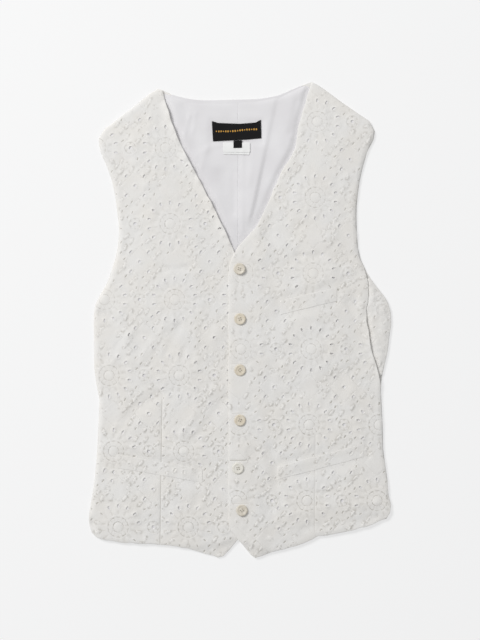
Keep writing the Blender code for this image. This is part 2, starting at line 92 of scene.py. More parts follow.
SIDE_LEFT = (
    (189.5, 264), (187.5, 252), (178.5, 235), (173.5, 217), (168, 193), (164, 160), (164, 130),
    (166, 100), (170, 84), (178.5, 66), (189, 50), (202, 34), (208.5, 22), (212, 8), (212.3, -5),
    (210, -22), (207, -45), (202, -67), (198.3, -88), (198.5, -112), (200.5, -150), (201, -180),
    (203.5, -200), (207, -224), (208.5, -245), (212, -258), (211, -270),
)
HEM_LEFT = (
    (211, -270), (205, -278.5), (198.8, -281), (176.4, -289.8), (131.6, -300.6), (109.2, -304),
    (86.8, -315), (53.2, -323.4), (30.8, -331.6), (21, -333.6), (8.4, -322), (-2.8, -308), (-13.5, -295),
    (-17.2, -282),
)
NECK_BACK = (
    (-107.8, 322), (-96, 316.5), (-81.2, 312.2), (-56, 308.4), (-25, 308.7), (14, 309.6), (30.8, 310.8),
    (53.2, 315), (70, 322), (86.8, 329), (99.4, 333.6),
)
NECK_RIGHT = (
    (-107.8, 322), (-100.8, 298.2), (-93.8, 274.4), (-79.8, 242.2), (-65.8, 215.6), (-44.8, 175.7),
    (-29.4, 145.6), (-14, 112), (-5, 92), (4, 68), (10.5, 40),
)
NECK_LEFT = (
    (99.4, 333.6), (90, 304), (81.2, 273), (75.6, 240.8), (57.4, 208), (49, 190), (36.4, 161),
    (22.4, 133), (1.4, 109), (-8, 96), (-15, 80), (-17.5, 62),
)
HEM_BACK = (
    (-205, -270), (-196, -296), (-151, -304), (-115, -306), (-81, -309), (-40, -307), (-3, -297),
    (30, -305), (53, -312), (87, -305), (109, -294), (131.6, -291), (176.4, -280), (203, -262),
)
# The left side seam, where the front's edge lies on the back's side that turns over the fold
SEAM_LEFT = ((170, 84), (177, 66), (180.5, 50), (181, 34), (179.5, 22), (177.5, 8), (180.5, -14),
             (185.5, -42), (191, -63), (196, -79), (198.3, -92))
TURN_TOP_Y = 62.0
TURN_FOOT_Y = -86.0
TURN_UNDER = 6.5         # how far the turned side runs on under the front
TURN_RISE = 1.6
TURN_INSET = 0.8         # how far inside the side fold it starts
SEAT_TOP_Y = TURN_TOP_Y + 12         # where the front lies higher because of it
SEAT_FOOT_Y = TURN_FOOT_Y - 8
SEAT_FROM_X = 150
SEAT_WIDTH = 26          # how far in from the seam that reaches

# Folds. Columns: x0, y0, x1, y1, half width, height (a trough's is negative)
RIGHT_FRONT_FOLDS = (
    (-109, -105, -112, -318, 6, -0.5),
    (-128, 20, -60, -30, 16, 0.8),
    (-176, 40, -150, -60, 14, 0.9),
    (-120, 210, -60, 150, 16, 0.7),
    (-150, -120, -60, -80, 14, -0.8),
    (-180, -150, -150, -280, 14, 0.8),
    (-90, -180, -40, -290, 14, 0.6),
)
LEFT_FRONT_FOLDS = (
    (105, -160, 104, -302, 6, -0.3),
    (160, 150, 120, 60, 15, 0.8),
    (60, 120, 130, 90, 15, -0.7),
    (70, -60, 150, -20, 16, 0.8),
    (60, -110, 160, -70, 14, -0.8),
    (150, -110, 170, -170, 14, 0.7),
    (150, -220, 180, -280, 14, 0.8),
    (60, -240, 80, -310, 12, 0.6),
)

# Pocket welts: the lower edge from its inner to its outer end, and the depth.
# Columns: x0, y0, x1, y1, depth
CHEST_WELT = (56, 6.5, 136, 26, 21)
RIGHT_WELT = (-52, -228, -173, -207, 20)
LEFT_WELT = (52, -224, 174, -192, 20)

# Buttons down the overlap. Columns: x, y
BUTTONS = ((-0.7, 71.4), (0, 1.4), (0, -70), (0, -140), (-2.8, -207.2), (2.8, -266))

# Labels on the lining. Columns: left, right, top, bottom at the left, drop to the right
NECK_LABEL = (-39.2, 29.4, 278.0, 250.6, 1.2)
SIZE_TAB = (-9.1, 2.8, 248.6, 240.4, 0.2)
CARE_LABEL = (-23.8, 14.0, 248.6, 234.6, 0.4)

# The embroidery's repeat, a lattice of round suns with flowers and lozenges between them
REPEAT_X = 98.0
REPEAT_Y = 106.0
# Where one sun lies on each front. Columns: x, y, how far the lattice leans across for each unit up
LEFT_REPEAT_AT = (99.4, -40.6, 0.027)
RIGHT_REPEAT_AT = (-85.0, -77.5, -0.06)
RAYS = 14                # slots that point away from a sun, in a ring round it
RAY_RING = 29.5          # radius of that ring
ROW_X = 25.0             # half width and height of the row of slots round a lozenge
ROW_Y = 27.0
SLOT_LENGTH = 5.4
SLOT_WIDTH = 2.6
SLOT_TURN = math.radians(56)
EYELET = 4.6             # round eyelet in the middle of a flower


def curve(points, step=EDGE_STEP):
    """Points about a step apart on a smooth curve through the given ones."""
    p = [np.array(q, float) for q in points]
    p = [2 * p[0] - p[1], *p, 2 * p[-1] - p[-2]]
    out = []
    for a, b, c, d in zip(p, p[1:], p[2:], p[3:]):
        count = max(1, round(float(np.linalg.norm(c - b)) / step))
        for i in range(count):
            t = i / count
            out.append(0.5 * (2 * b + (c - a) * t + (2 * a - 5 * b + 4 * c - d) * t ** 2
                              + (3 * b - a - 3 * c + d) * t ** 3))
    return [*out, p[-2]]


def loop(*edges):
    """One closed outline from edges that follow each other, without its doubled points."""
    out = []
    for edge in edges:
        for p in edge:
            if not out or np.linalg.norm(p - out[-1]) > 1.5:
                out.append(np.array(p, float))
    while np.linalg.norm(out[0] - out[-1]) < 1.5:
        out.pop()
    area = sum(a[0] * b[1] - a[1] * b[0] for a, b in zip(out, out[1:] + out[:1]))
    return out if area > 0 else out[::-1]


def inset(outline, amount):
    """The outline moved in, which runs anticlockwise, without the points that a sharp corner folds back."""
    n = len(outline)
    out = []
    for i in range(n):
        along = outline[(i + 1) % n] - outline[i - 1]
        along /= np.linalg.norm(along)
        out.append(outline[i] + amount * np.array((-along[1], along[0])))
    clear = inside(out, outline) & (distance(out, outline) > 0.93 * amount)
    return loop([p for p, keep in zip(out, clear) if keep])


def clipped(outline, x, side):
    """The part of an outline that lies on one side of a line across x."""
    out = []
    for a, b in zip(outline, outline[1:] + outline[:1]):
        if (a[0] - x) * side >= 0:
            out.append(a)
        if (a[0] - x) * (b[0] - x) < 0:
            out.append(a + (b - a) * (x - a[0]) / (b[0] - a[0]))
    return loop(out)


def inside(points, outline):
    """Whether each point lies inside an outline."""
    p = np.asarray(points, float)
    found = np.zeros(len(p), bool)
    for a, b in zip(outline, outline[1:] + outline[:1]):
        if a[1] != b[1]:
            crosses = (a[1] > p[:, 1]) != (b[1] > p[:, 1])
            found ^= crosses & (p[:, 0] < a[0] + (p[:, 1] - a[1]) * (b[0] - a[0]) / (b[1] - a[1]))
    return found


def distance(points, line, closed=True):
    """Each point's distance from a line of points."""
    p = np.asarray(points, float)
    q = np.asarray(line, float)
    a, b = (q, np.roll(q, -1, axis=0)) if closed else (q[:-1], q[1:])
    ab = b - a
    out = np.empty(len(p))
    some = max(1, 300000 // len(a))
    for first in range(0, len(p), some):
        part = p[first:first + some, None]
        t = ((part - a) * ab).sum(2) / np.maximum((ab * ab).sum(1), 1e-9)
        off = part - a - np.clip(t, 0, 1)[..., None] * ab
        out[first:first + some] = np.sqrt((off * off).sum(2).min(1))
    return out


def smooth(value):
    """0 below 0, 1 above 1, with a soft step between."""
    t = np.clip(value, 0, 1)
    return t * t * (3 - 2 * t)


def folds(points, table):
    """The height that soft ridges and troughs give each point."""
    p = np.asarray(points, float)
    height = np.zeros(len(p))
    for x0, y0, x1, y1, half, rise in table:
        a = np.array((x0, y0), float)
        ab = np.array((x1, y1), float) - a
        t = ((p - a) @ ab) / (ab @ ab)
        off = np.linalg.norm(p - a - np.clip(t, 0, 1)[:, None] * ab, axis=1)
        height += rise * (1 - smooth(off / half)) * (0.75 + 0.25 * np.cos(2 * math.pi * t))
    return height


def staggered(low, high, step):
    """Rows of points in a box, every other row moved half a step along."""
    return np.array([
        (x + step / 2 * (row % 2), y)
        for row, y in enumerate(np.arange(low[1] + step / 2, high[1], step * 0.87))
        for x in np.arange(low[0] + step / 2, high[0], step)
    ]).reshape(-1, 2)


def welt_outline(welt):
    """A pocket welt's outline, from a row with its lower edge and depth."""
    x0, y0, x1, y1, depth = welt
    a, b = np.array((x0, y0), float), np.array((x1, y1), float)
    up = np.array((0.0, depth))
    return loop(curve((a, b), 14), curve((b, b + up), 10), curve((b + up, a + up), 14),
                curve((a + up, a), 10))


def label_outline(label):
    """A label's outline, from a row with its four sides and drop."""
    left, right, top, foot, drop = label
    corners = ((left, foot), (right, foot - drop), (right, top - drop), (left, top), (left, foot))
    return loop(*(curve(pair) for pair in zip(corners, corners[1:])))


def outlines():
    """The closed outline of each panel, and of the whole back."""
    side_left_low = [p for p in curve(SIDE_LEFT) if p[1] < SEAM_LEFT[-1][1]]
    side_left_high = [p for p in curve(SIDE_LEFT) if p[1] > SEAM_LEFT[0][1]]
    back = loop(curve(NECK_BACK), curve(SHOULDER_LEFT[::-1], HIDDEN_STEP), curve(SIDE_LEFT, HIDDEN_STEP),
                curve(HEM_BACK[::-1], HIDDEN_STEP), curve(SIDE_RIGHT[::-1], HIDDEN_STEP),
                curve(SHOULDER_RIGHT, HIDDEN_STEP))
    right = loop(curve(NECK_RIGHT), curve(((10.5, 40), HEM_RIGHT[-1])), curve(HEM_RIGHT[::-1]),
                 curve(SIDE_RIGHT[::-1]), curve(SHOULDER_RIGHT))
    left = loop(curve(NECK_LEFT), curve((NECK_LEFT[-1], HEM_LEFT[-1])), curve(HEM_LEFT[::-1]),
                side_left_low[::-1], curve(SEAM_LEFT[::-1]), side_left_high[::-1], curve(SHOULDER_LEFT))
    return back, right, left


def lattice(at):
    """The middles of the suns, over the whole waistcoat and beyond."""
    for i in range(-4, 5):
        for j in range(-6, 7):
            yield np.array((at[0] + REPEAT_X * i + at[2] * REPEAT_Y * j, at[1] + REPEAT_Y * j))


def sewn_edge(over):
    """The shoulder and the side of the front that lies over the other, or of the other one."""
    shoulder, side = (SHOULDER_LEFT, SIDE_LEFT) if over else (SHOULDER_RIGHT, SIDE_RIGHT)
    return [*curve(shoulder[::-1]), *curve(side)]


def front_height(outline, hem_line, table, calm, over):
    """The height of a front's underside: on the lining, rolled down at the side and the shoulder,
    standing off a little in the middle, and drooping where it hangs past the back's hem."""
    lining_top = BACK_THICK + LINING_THICK + 2 * GAP
    rest = lining_top + GAP
    neck = curve(NECK_LEFT if over else NECK_RIGHT)
    sewn = sewn_edge(over)

    def height(plan):
        from_edge = distance(plan, outline)
        from_neck = distance(plan, neck, False)
        hem_y = np.interp(plan[:, 0], *np.transpose(hem_line))
        past_hem = smooth((hem_y - DROOP_FROM[over] - plan[:, 1]) / DROOP_WIDTH)
        near_middle = smooth((OVERLAP_FOOT_X - plan[:, 0]) / OVERLAP_SLOPE) if over else np.zeros(len(plan))
        off_overlap = smooth((OVERLAP_EDGE_X - UNDER_OVERLAP - plan[:, 0]) / UNDER_SLOPE)
        by_overlap = 1 - near_middle if over else off_overlap
        at_side = (1 - smooth(distance(plan, sewn, False) / RIM_WIDTH)) * (plan[:, 1] > hem_y)
        off = [distance(plan, area) * ~inside(plan, area) for area in calm]
        free = smooth(from_edge / PUFF_WIDTH) * by_overlap * smooth(np.min(off, 0) / POCKET_CALM)
        low = rest + (FRONT_THICK + GAP) * near_middle
        low += (PUFF * smooth(from_edge / PUFF_WIDTH) + folds(plan, table)
                * smooth(from_edge / FOLDS_FROM_EDGE) * smooth(from_neck / FOLDS_FROM_NECK)) * free
        low = np.maximum(low, rest + (FRONT_THICK + GAP) * near_middle)
        low -= at_side * (LINING_THICK + GAP)
        if over:
            on_turn = (plan[:, 1] < SEAT_TOP_Y) & (plan[:, 1] > SEAT_FOOT_Y) & (plan[:, 0] > SEAT_FROM_X)
            low = np.where(on_turn, np.maximum(low, turn_seat(plan)), low)
        return low - DROOP * past_hem

    return height


def turn_seat(plan):
    """The height that the left front needs over the back's turned side."""
    from_seam = distance(plan, curve(SEAM_LEFT), False)
    along = smooth((SEAT_TOP_Y - plan[:, 1]) / 14) * smooth((plan[:, 1] - SEAT_FOOT_Y) / 10)
    top = BACK_THICK + GAP + TURN_THICK + GAP
    return (BACK_THICK + GAP) + (top - BACK_THICK - GAP) * along * smooth((SEAT_WIDTH - from_seam) / 12)


def turned_side_height(plan):
    """The height of the turned side's underside: a soft roll between the fold and the seam."""
    from_fold = distance(plan, curve(SIDE_LEFT), False)
    from_seam = distance(plan, curve(SEAM_LEFT), False)
    under_front = inside(plan, outlines()[2])
    roll = smooth((from_fold - TURN_INSET) / 9) * smooth(np.where(under_front, 0, from_seam) / 7)
    return BACK_THICK + GAP + TURN_RISE * roll


def turned_side_outline():
    """The strip between the side fold and a line that lies some way under the front's seam edge."""
    outer = [p + np.array((-TURN_INSET, 0)) for p in curve(SIDE_LEFT) if TURN_FOOT_Y < p[1] < TURN_TOP_Y]
    inner = [p + np.array((-TURN_UNDER, 0)) for p in curve(SEAM_LEFT) if TURN_FOOT_Y < p[1] < TURN_TOP_Y]
    return loop(outer, inner[::-1])


# How it looks. Colours are linear
CLOTH_WARM = (0.84, 0.817, 0.779)
CLOTH_COOL = (0.84, 0.828, 0.806)
# painted highlight: a paler colour for the cloth where its relief stands up, on the raised stitches
PAINTED_STITCH_HIGHLIGHT = (0.87, 0.853, 0.822)
# painted shade: a darker, warmer colour for the cloth where its relief is sunk, in troughs, dents and grooves
PAINTED_TROUGH_SHADE = (0.56, 0.538, 0.495)
LINING_SHADE = (0.785, 0.770, 0.782)
LINING_LIT = (0.83, 0.82, 0.83)
BACK_GRID = 6.0          # point spacing of the back's cloth
CLOTH_THICK = 0.65       # the embroidered cloth by itself, away from its turned edges
UNDER_GAP = 0.25         # from the lining up to the front that lies on it
# Rows of slots round a lozenge. Columns: half width, half height, slots on a side
SLOT_ROWS = ((ROW_X, ROW_Y, 3), (38.0, 41.0, 5), (51.0, 55.0, 7))
SEAM_POINTS = (0.1, 0.9)             # how far from the front's edge its points lie on the turned side
TURN_CREASE = 0.8        # how uneven the turned side is
NECK_EDGE_INSET = 0.8    # from the back's neckline down to the turned edge
NECK_EDGE_THICK = 0.5
NECK_EDGE_GAP = 0.08
NECK_EDGE_CUT = 10       # length that is cut for it
BACK_LIFT = 0.5          # how far the relief stands out on the side that lies underneath
WELT_GAP = 0.06
LINING_GRID = 9.0
SEAM_GAP = 0.06          # between the lining's halves, where they are sewn together
WELT_RISE = 0.36
OPEN_FROM_X = 26.0       # from where the left front lies on the lining, beyond the buttoned overlap
SEAM_OPEN_Y = 8.0        # below this height the left front stands off at its side seam
SEAM_CURL = 1.5          # and by how much
# Where one sun lies beside the turned side of the back. Columns: x, y, lean
TURN_REPEAT_AT = (150.0, -92.0, 0.0)
THIN_EDGE = 0.8          # how much thinner a front gets towards an edge that lies flat
THIN_REACH = 7.0         # and how far in from that edge
RIGHT_DART = 0.3         # depth of the dart's stitched line
LEFT_DART = 0.14
SLIT_HALF = 11           # half the length of a buttonhole
BUTTON_CALM = 11.0       # how far from a button's middle the motifs stay nearly flat
# Buttonholes, from the top one down. Columns: how far above the button's middle, rise towards +X, depth
BUTTONHOLES = (
    (9.0, 0.3, 0.06), (9.5, 0.5, 0.05), (9.0, 0.4, 0.08), (9.5, 1.0, 0.12), (11.2, -0.2, 0.3),
    (9.5, 0.5, 0.12),
)
# The neck label's outline as it lies, with its corners pulled out. Columns: x, y
NECK_LABEL_EDGE = (
    (-39.4, 278.4), (-31, 275.6), (0, 274.4), (22, 276.2), (29.2, 280.2), (29.8, 254.2), (10, 252.4),
    (-14, 251.2), (-37.8, 249.8),
)
# Lozenges woven in a row on the neck label. Columns: first x, last x, y, spacing
LOZENGE_ROW = (-33.0, 24.0, 265.2, 3.3)
LOZENGE_SIZES = ((1.5, 2.3), (1.2, 1.6))       # half width and height of two of three, and of each third one
ROW_SLOPE = 0.05
ROW_WAVE = 0.5
ROW_SUNK = 0.12          # from the label down to a lozenge's corners
ROW_LIFT = 0.22          # and up to its middle
# Where the labels' cloths lie, over the lining. Columns: underside, upper side
LABEL_AT = (0.0, 0.55)
TAB_AT = (1.0, 1.5)
UNDER_LEAF_AT = (0.0, 0.3)
CARE_AT = (0.5, 0.85)
LABEL_STEPS = {"step": 2.4, "back_step": 4.0, "rim_step": 1.7}     # their point spacings
TAB_STEPS = {"step": 1.8, "back_step": 3.0, "rim_step": 1.7}
LABEL_BLACK = (0.007, 0.0065, 0.007)
LABEL_WHITE = (0.89, 0.89, 0.88)
LABEL_GOLD = (0.60, 0.32, 0.06)
THREAD = (0.62, 0.58, 0.5)
# How each button lies. Columns: slope across, slope up, tone
BUTTON_LEAN = (
    (0.16, -0.06, "grey"), (0.04, -0.04, "tan"), (0.0, 0.02, "tan"), (-0.03, -0.05, "tan"),
    (0.02, 0.02, "pale"), (0.0, -0.07, "grey"),
)
# A button's upper side. Columns: radius, height
BUTTON_PROFILE = (
    (0.0, 1.25), (3.2, 1.2), (4.9, 1.3), (5.6, 1.65), (6.1, 1.85), (7.0, 1.85), (7.7, 1.55), (8.2, 1.1),
)
BUTTON_RINGS = (3.3, 4.2, 4.9, 5.5, 6.1, 6.7)  # radii of its rings of points
BUTTON_HOLES_AT = 1.9    # from its middle to the middle of a hole
BUTTON_HOLE = 0.8        # radius of a hole
THREAD_RADIUS = 0.32
TUBE_SIDES = 6
# A stitch from one hole to the next. Columns: share of the way, height over the button
STITCH = ((0, -1.2), (0, -0.1), (0.25, 0.28), (0.75, 0.28), (1, -0.1), (1, -1.2))
# Colours that a button is clouded between
BUTTON_COLOURS = {
    "tan": ((0.66, 0.58, 0.45), (0.79, 0.73, 0.62)),
    "pale": ((0.76, 0.73, 0.65), (0.85, 0.83, 0.77)),
    "grey": ((0.60, 0.545, 0.45), (0.76, 0.71, 0.62)),
}
# The line of the lining's long fold. Columns: x, y
LONG_FOLD = ((50, 312), (47, 298), (33.6, 235), (17.8, 161), (9.8, 131.6), (6, 118))
FOLD_RISE = 2.2          # how high the cloth at its -X side lies over the other
FOLD_SLOPE = 30.0        # width over which it rises
FOLD_DROP = 3.6          # and over which it drops
FOLD_SLACK = 1.6         # rise of the slack cloth beyond it
SLACK_WIDTH = 32         # and the width over which it rises
FOLD_FOOT_Y = 126        # where the long fold starts, down in the V
FOLD_FADE_Y = 190        # and where it starts to get lower again
LINING_CALM = 9          # how far in from the fronts' and the neck's edges the lining is nearly flat
LABEL_CALM = 8           # and how far round the neck label
CURL = 3.3               # how far the right front's free edge stands off the lining
CURL_REACH = 11.0        # how far in from the edge it does so
CURL_SIZE = 13.0         # size of its unevenness
# Small creases of the top cloth alone. Columns: x0, y0, x1, y1, half width, height
LINING_CREASES = (
    (80, 306, 71, 262, 7, -0.9),
    (-9, 206, -8, 150, 6, -0.5),
    (-24, 204, -14, 152, 18, -1.0),
    (-112, 300, -34, 150, 46, 1.6),
    (-78, 300, -62, 240, 12, -0.6),
    (-70, 287, -80, 252, 4, 0.7),
    (-62, 290, -66, 262, 3.5, 0.5),
    (-46, 241, -56, 210, 6, 0.6),
    (3.5, 236, 3, 126, 5, 0.5),
    (20, 250, 12, 190, 6, 0.35),
    (-30, 246, -52, 236, 7, 0.4),
)
RIGHT_CREASES = (
    (-67, -172, -16, -106, 12, -1.3),
    (-82, -160, -36, -96, 10, 1.0),
    (-160, -139, -114, -104, 13, -1.3),
    (-72, -86, -30, -16, 16, 1.0),
    (-104, -46, -84, -8, 9, -0.9),
    (-140, -56, -95, 5, 12, 0.9),
    (-106, 70, -74, 73, 8, -1.2),
    (-61, 30, -62, 14, 4, -0.8),
    (-78, -40, -81, -53, 5, -0.8),
    (-60, -214, -62, -262, 10, -1.1),
    (-150, 250, -120, 150, 12, 0.7),
    (-196, 10, -130, -24, 9, -0.8),
    (-180, -60, -150, -16, 10, 0.9),
    (-190, -176, -112, -186, 10, 0.7),
    (-190, -255, -110, -290, 12, -0.8),
    (-130, 190, -90, 172, 12, 0.7),
    (-104, -215, -84, -285, 12, 0.8),
)
LEFT_CREASES = (
    (-2.5, 60, -2, 44, 3, -0.6),
    (178, -172, 180, -190, 5, -1.2),
    (60, -208, 174, -172, 11, 1.0),
    (64, -236, 122, -244, 8, -0.9),
    (92, 44, 116, -60, 44, 1.7),
    (58, -24, 130, 40, 36, 1.3),
    (20, -188, 42, -262, 15, -1.3),
    (44, -184, 54, -250, 14, -1.2),
    (2, -180, 4, -262, 14, 0.6),
    (80, 89, 114, 91, 7, -1.3),
    (96, 76, 150, 66, 12, 0.4),
    (146, 58, 163, 26, 8, -1.1),
    (14, 146, 50, 106, 9, -0.8),
    (30, 96, 120, 108, 26, 1.2),
    (150, 200, 130, 120, 12, 0.7),
    (150, 24, 172, -24, 9, -0.9),
    (118, -48, 148, -92, 11, -1.0),
    (60, -84, 130, -130, 10, -0.8),
    (60, -60, 120, -96, 10, 0.7),
    (70, -272, 190, -256, 11, 0.8),
    (90, -292, 196, -276, 9, -0.8),
    (-12, 12, 16, 13, 5, -0.5),
    (-12, -60, 16, -59, 5, -0.4),
    (-12, -127, 18, -126, 6, -0.7),
    (-14, -197, 12, -196, 5, -0.4),
    (-12, -255, 12, -254, 5, -0.6),
)

# The light and the camera, in metres and watts
FLOOR_SIZE = 6
FLOOR_GAP = 0.0004
FLOOR_TONE = 0.38
FLOOR_GLOW = 0.568
FILL = 0.46              # strength of the light from all round
FILL_COLOUR = (0.985, 0.99, 1.0, 1)
KEY_PLACE = (-2.65, 2.35, 3.55)
KEY_SIZE = 1.7
KEY_POWER = 154
CAMERA_HEIGHT = 4.0
FRAME_HEIGHT = 0.896     # what the picture shows from top to bottom
SENSOR = 36              # the camera's own film, in millimetres

# Finer sizes of the cloth as it shows
ROUND = 0.7              # radius of a turned cloth edge
CLOTH_GRID = 2.9         # point spacing of the cloth between motifs
PLAIN_GRID = 14.0        # and on a side that nothing shows of
RIM_STEP = 2.6           # point spacing along a cloth edge
RIM_RINGS = (0.3, 1.0)   # distances from an edge of the rings that round it
# The embroidered cloth's small unevenness. Columns: height, size along its slots, size across them
PUCKERS = ((0.38, 20.0, 14.0), (0.22, 8.0, 4.5))
BLISTERS = (0.5, 9.0, 6.0)
# How far the cloth lies flat round each motif. Columns: place in shares of the repeat, reach
MOTIF_CALM = (((0, 0), 17.0), ((0.5, 0), 9.0), ((0.5, 0.5), 15.0), ((0, 0.5), 13.0))
EDGE_WAVE = 0.5          # how far a sewn edge wanders
EDGE_WAVE_SIZE = 17.0
EDGE_BUMP = 1.4          # and how far its stitches push it in and out
EDGE_BUMP_SIZE = 6.0
HOLE_SIDES = 9
HOLE_RIM = 1.0           # from a hole's edge to the crest of its stitched rim
RIM_FOOT = 1.8           # and to the foot of the rim
RIM_LIFT = 0.35
LOZENGE_EYELET = 4.0     # round eyelet in the middle of a lozenge
OPEN_LOZENGE = (20.5, 22.0)          # half width and height of a lozenge with an eyelet
PLAIN_LOZENGE = (19.0, 18.0)         # and of one without
LOZENGE_LIFT = 0.15
LOZENGE_LINES = ((-1.1, 0.1), (0, -0.1), (1.1, 0.12))  # its stitched line. Columns: off the side, lift
LINE_STEP = 2.2          # point spacing along a stitched line or a seam
# A sun from its middle outwards. Columns: radius, points, lift, phase, scallops, their depth
SUN_LIFT = 0.4
SUN_RINGS = ((2.6, 7, 0.38), (4.8, 13, 0.3), (6.6, 26, 0.0), (7.4, 30, -0.17, 0.1), (8.3, 30, 0.22),
             (9.3, 26, 0.0))
SUN_EDGE = ((15.8, 42, 0.24, 0, 14, 0.7), (17.4, 42, 0.0))
BROKEN_RING = (14.4, 40, 0.15)       # radius, points, depth
SUN_PETALS = 14
SUN_PETAL = ((11.0, 0.22), (12.6, 0.26), (18.5, 0.15), (20.5, 0.24), (22.5, 0.12))  # Columns: radius, lift
SUN_PETAL_GAP = (11.4, 12.8, 18.4, 20.4, 22.4)
PETAL_GAP_LIFT = -0.06
FLOWER_PETAL = ((4.6, 0.15), (6.0, 0.3), (7.2, 0.15))
FLOWER_RINGS = ((8.2, 24, -0.1), (9.2, 24, 0.25), (10.2, 24, 0.0))
SLOT_SPACING = 8.0       # least distance between two slots
OPEN_SHARE = 0.04        # of the slots, those that are cut through where the solids have none
PAD = (9.2, 3.3, 0.42)   # a raised satin stitch: length, width, height
DENT = (5.4, 2.0, 0.34)  # an eyelet that is stitched nearly shut: length, width, depth
DENT_SHARE = 0.45        # of the slots that aren't cut through, those that are nearly shut
UNEVEN = 0.28            # how far each point of the relief strays sideways
MOTIF_REACH = 30         # how far past a panel a motif's middle may lie
FINE_HOLE = 0.92         # size of the eyelets that the solids don't have, as a share of the others'
MORE_BELOW = 0.45        # how much higher the relief stands towards the hem
BELOW_REACH = 150        # how far down it gets there
RELIEF_VARIES = 0.9      # and how much it varies from patch to patch
RELIEF_PATCH = 9
MOTIF_SPACING = 0.62     # least distance between two points of the relief
GRID_CLEAR = 2.2         # and between the relief and the grid
# How far the holes and the relief keep from an edge, from a pocket or button, and from a seam
HOLES_CLEAR = (5.5, 4.0, 5.0)
RELIEF_CLEAR = (1.7, 0.8, 1.8)
HOLE_EDGE_LIFT = 0.15
HOLE_MARGIN = 1.12       # share of a hole's size within which no other point lies
SHARP = math.radians(65)
BUTTON_SHARP = math.radians(50)
WELT_WAVE = 0.3          # how far a welt's edge wanders


def rumple(plan, size, seed=0.0):
    """Soft noise from -1 to 1, with bumps of about one size."""
    return np.array([noise.noise(Vector((x / size, y / size, seed))) for x, y in plan])


def wavy(outline, amount=EDGE_WAVE):
    """An outline with the small unevenness of a sewn edge."""
    n = len(outline)
    shift = amount * rumple(outline, EDGE_WAVE_SIZE, 3.7)
    shift = shift + (EDGE_BUMP * amount / EDGE_WAVE) * (rumple(outline, EDGE_BUMP_SIZE, 6.1) - 0.5)
    out = []
    for i in range(n):
        along = outline[(i + 1) % n] - outline[i - 1]
        along /= max(np.linalg.norm(along), 1e-6)
        out.append(outline[i] + (shift[i] - amount) * np.array((along[1], -along[0])))
    return loop(out)


def resampled(outline, step):
    """The same outline with points about a step apart."""
    p = np.array([*outline, outline[0]])
    run = np.concatenate(([0], np.cumsum(np.linalg.norm(np.diff(p, axis=0), axis=1))))
    at = np.linspace(0, run[-1], max(8, round(run[-1] / step)), endpoint=False)
    return [np.array((x, y)) for x, y in zip(np.interp(at, run, p[:, 0]), np.interp(at, run, p[:, 1]))]


def area_of(outline):
    """An outline's area, in square metres."""
    double = sum(a[0] * b[1] - a[1] * b[0] for a, b in zip(outline, outline[1:] + outline[:1]))
    return abs(double) / 2 * MM * MM


def around(centre, radius, angle):
    """The point at a distance and an angle from a middle."""
    return centre[0] + radius * math.cos(angle), centre[1] + radius * math.sin(angle)


def ring(centre, radius, count, lift, phase=0.0, scallops=0, depth=0.0):
    """Points of a round ridge or trough: x, y and how far each stands out of the cloth."""
    angles = [phase + 2 * math.pi * k / count for k in range(count)]
    return [(*around(centre, radius + depth * abs(math.sin(scallops * a / 2)), a), lift) for a in angles]


def stretched(plan, long, wide):
    """Points in units of a size along the slots and one across them."""
    c, d = math.cos(SLOT_TURN), math.sin(SLOT_TURN)
    return np.transpose((plan @ np.array((c, d)) / long, plan @ np.array((-d, c)) / wide))


def pucker(plan, at, seed):
    """The height of the cloth's soft lumps, which are long in the direction of its slots, and which
    the motifs hold flat."""
    height, long, wide = BLISTERS
    lumps = [0.45 - noise.voronoi(Vector((x, y, seed)))[0][0] for x, y in stretched(plan, long, wide)]
    lumps = height * np.array(lumps)
    for k, (height, long, wide) in enumerate(PUCKERS):
        lumps += height * rumple(stretched(plan, long, wide), 1.0, seed + k)
    centres, reaches = [], []
    for sun_at in lattice(at):
        for (across, up), reach in MOTIF_CALM:
            centres.append(sun_at + np.array((REPEAT_X * across, REPEAT_Y * up)))
            reaches.append(reach)
    tree = tree_of(centres)
    near = [tree.find((x, y, 0))[1:] for x, y in plan]
    off = np.array([distance_to - reaches[k] for k, distance_to in near])
    return np.maximum(lumps * (0.25 + 0.75 * smooth((off + 3) / 5)), -0.3)


def oval(centre, length, width, angle, sides=HOLE_SIDES):
    """A round or long hole's edge."""
    turn = np.array(((math.cos(angle), -math.sin(angle)), (math.sin(angle), math.cos(angle))))
    return [centre + turn @ np.array((length / 2 * math.cos(a), width / 2 * math.sin(a)))
            for a in (2 * math.pi * k / sides for k in range(sides))]


def stitched_hole(centre, length, width, angle):
    """A hole's edge, and the raised rim of stitches round it."""
    relief = []
    for out, lift in ((HOLE_RIM, RIM_LIFT), (RIM_FOOT, 0.0)):
        relief += [(*p, lift) for p in oval(centre, length + 2 * out, width + 2 * out, angle)]
    return oval(centre, length, width, angle), relief


def stitched_pad(centre, grow, angle):
    """The points of a raised satin stitch, and of the ground that it pulls in round it."""
    along = np.array((math.cos(angle), math.sin(angle)))
    length, width, height = PAD[0] * grow, PAD[1] * grow, PAD[2] * grow
    relief = [(*(centre + t * length * along), height) for t in (-0.26, 0.0, 0.26)]
    relief += [(*p, 0.62 * height) for p in oval(centre, 0.8 * length, 0.6 * width, angle, 8)]
    return relief + [(*p, -0.12) for p in oval(centre, length, width, angle, 9)]


def stitched_dent(centre, grow, angle):
    """The points of an eyelet that is nearly shut, and of its raised rim."""
    length, width, depth = (value * grow for value in DENT)
    along = np.array((math.cos(angle), math.sin(angle)))
    relief = [(*(centre + t * length * along), -depth) for t in (-0.28, 0.0, 0.28)]
    relief += [(*p, 0.0) for p in oval(centre, length, width, angle, 8)]
    relief += [(*p, 0.2) for p in oval(centre, length + 1.7, width + 1.7, angle, 9)]
    return relief + [(*p, 0.0) for p in oval(centre, length + 3.4, width + 3.4, angle, 10)]


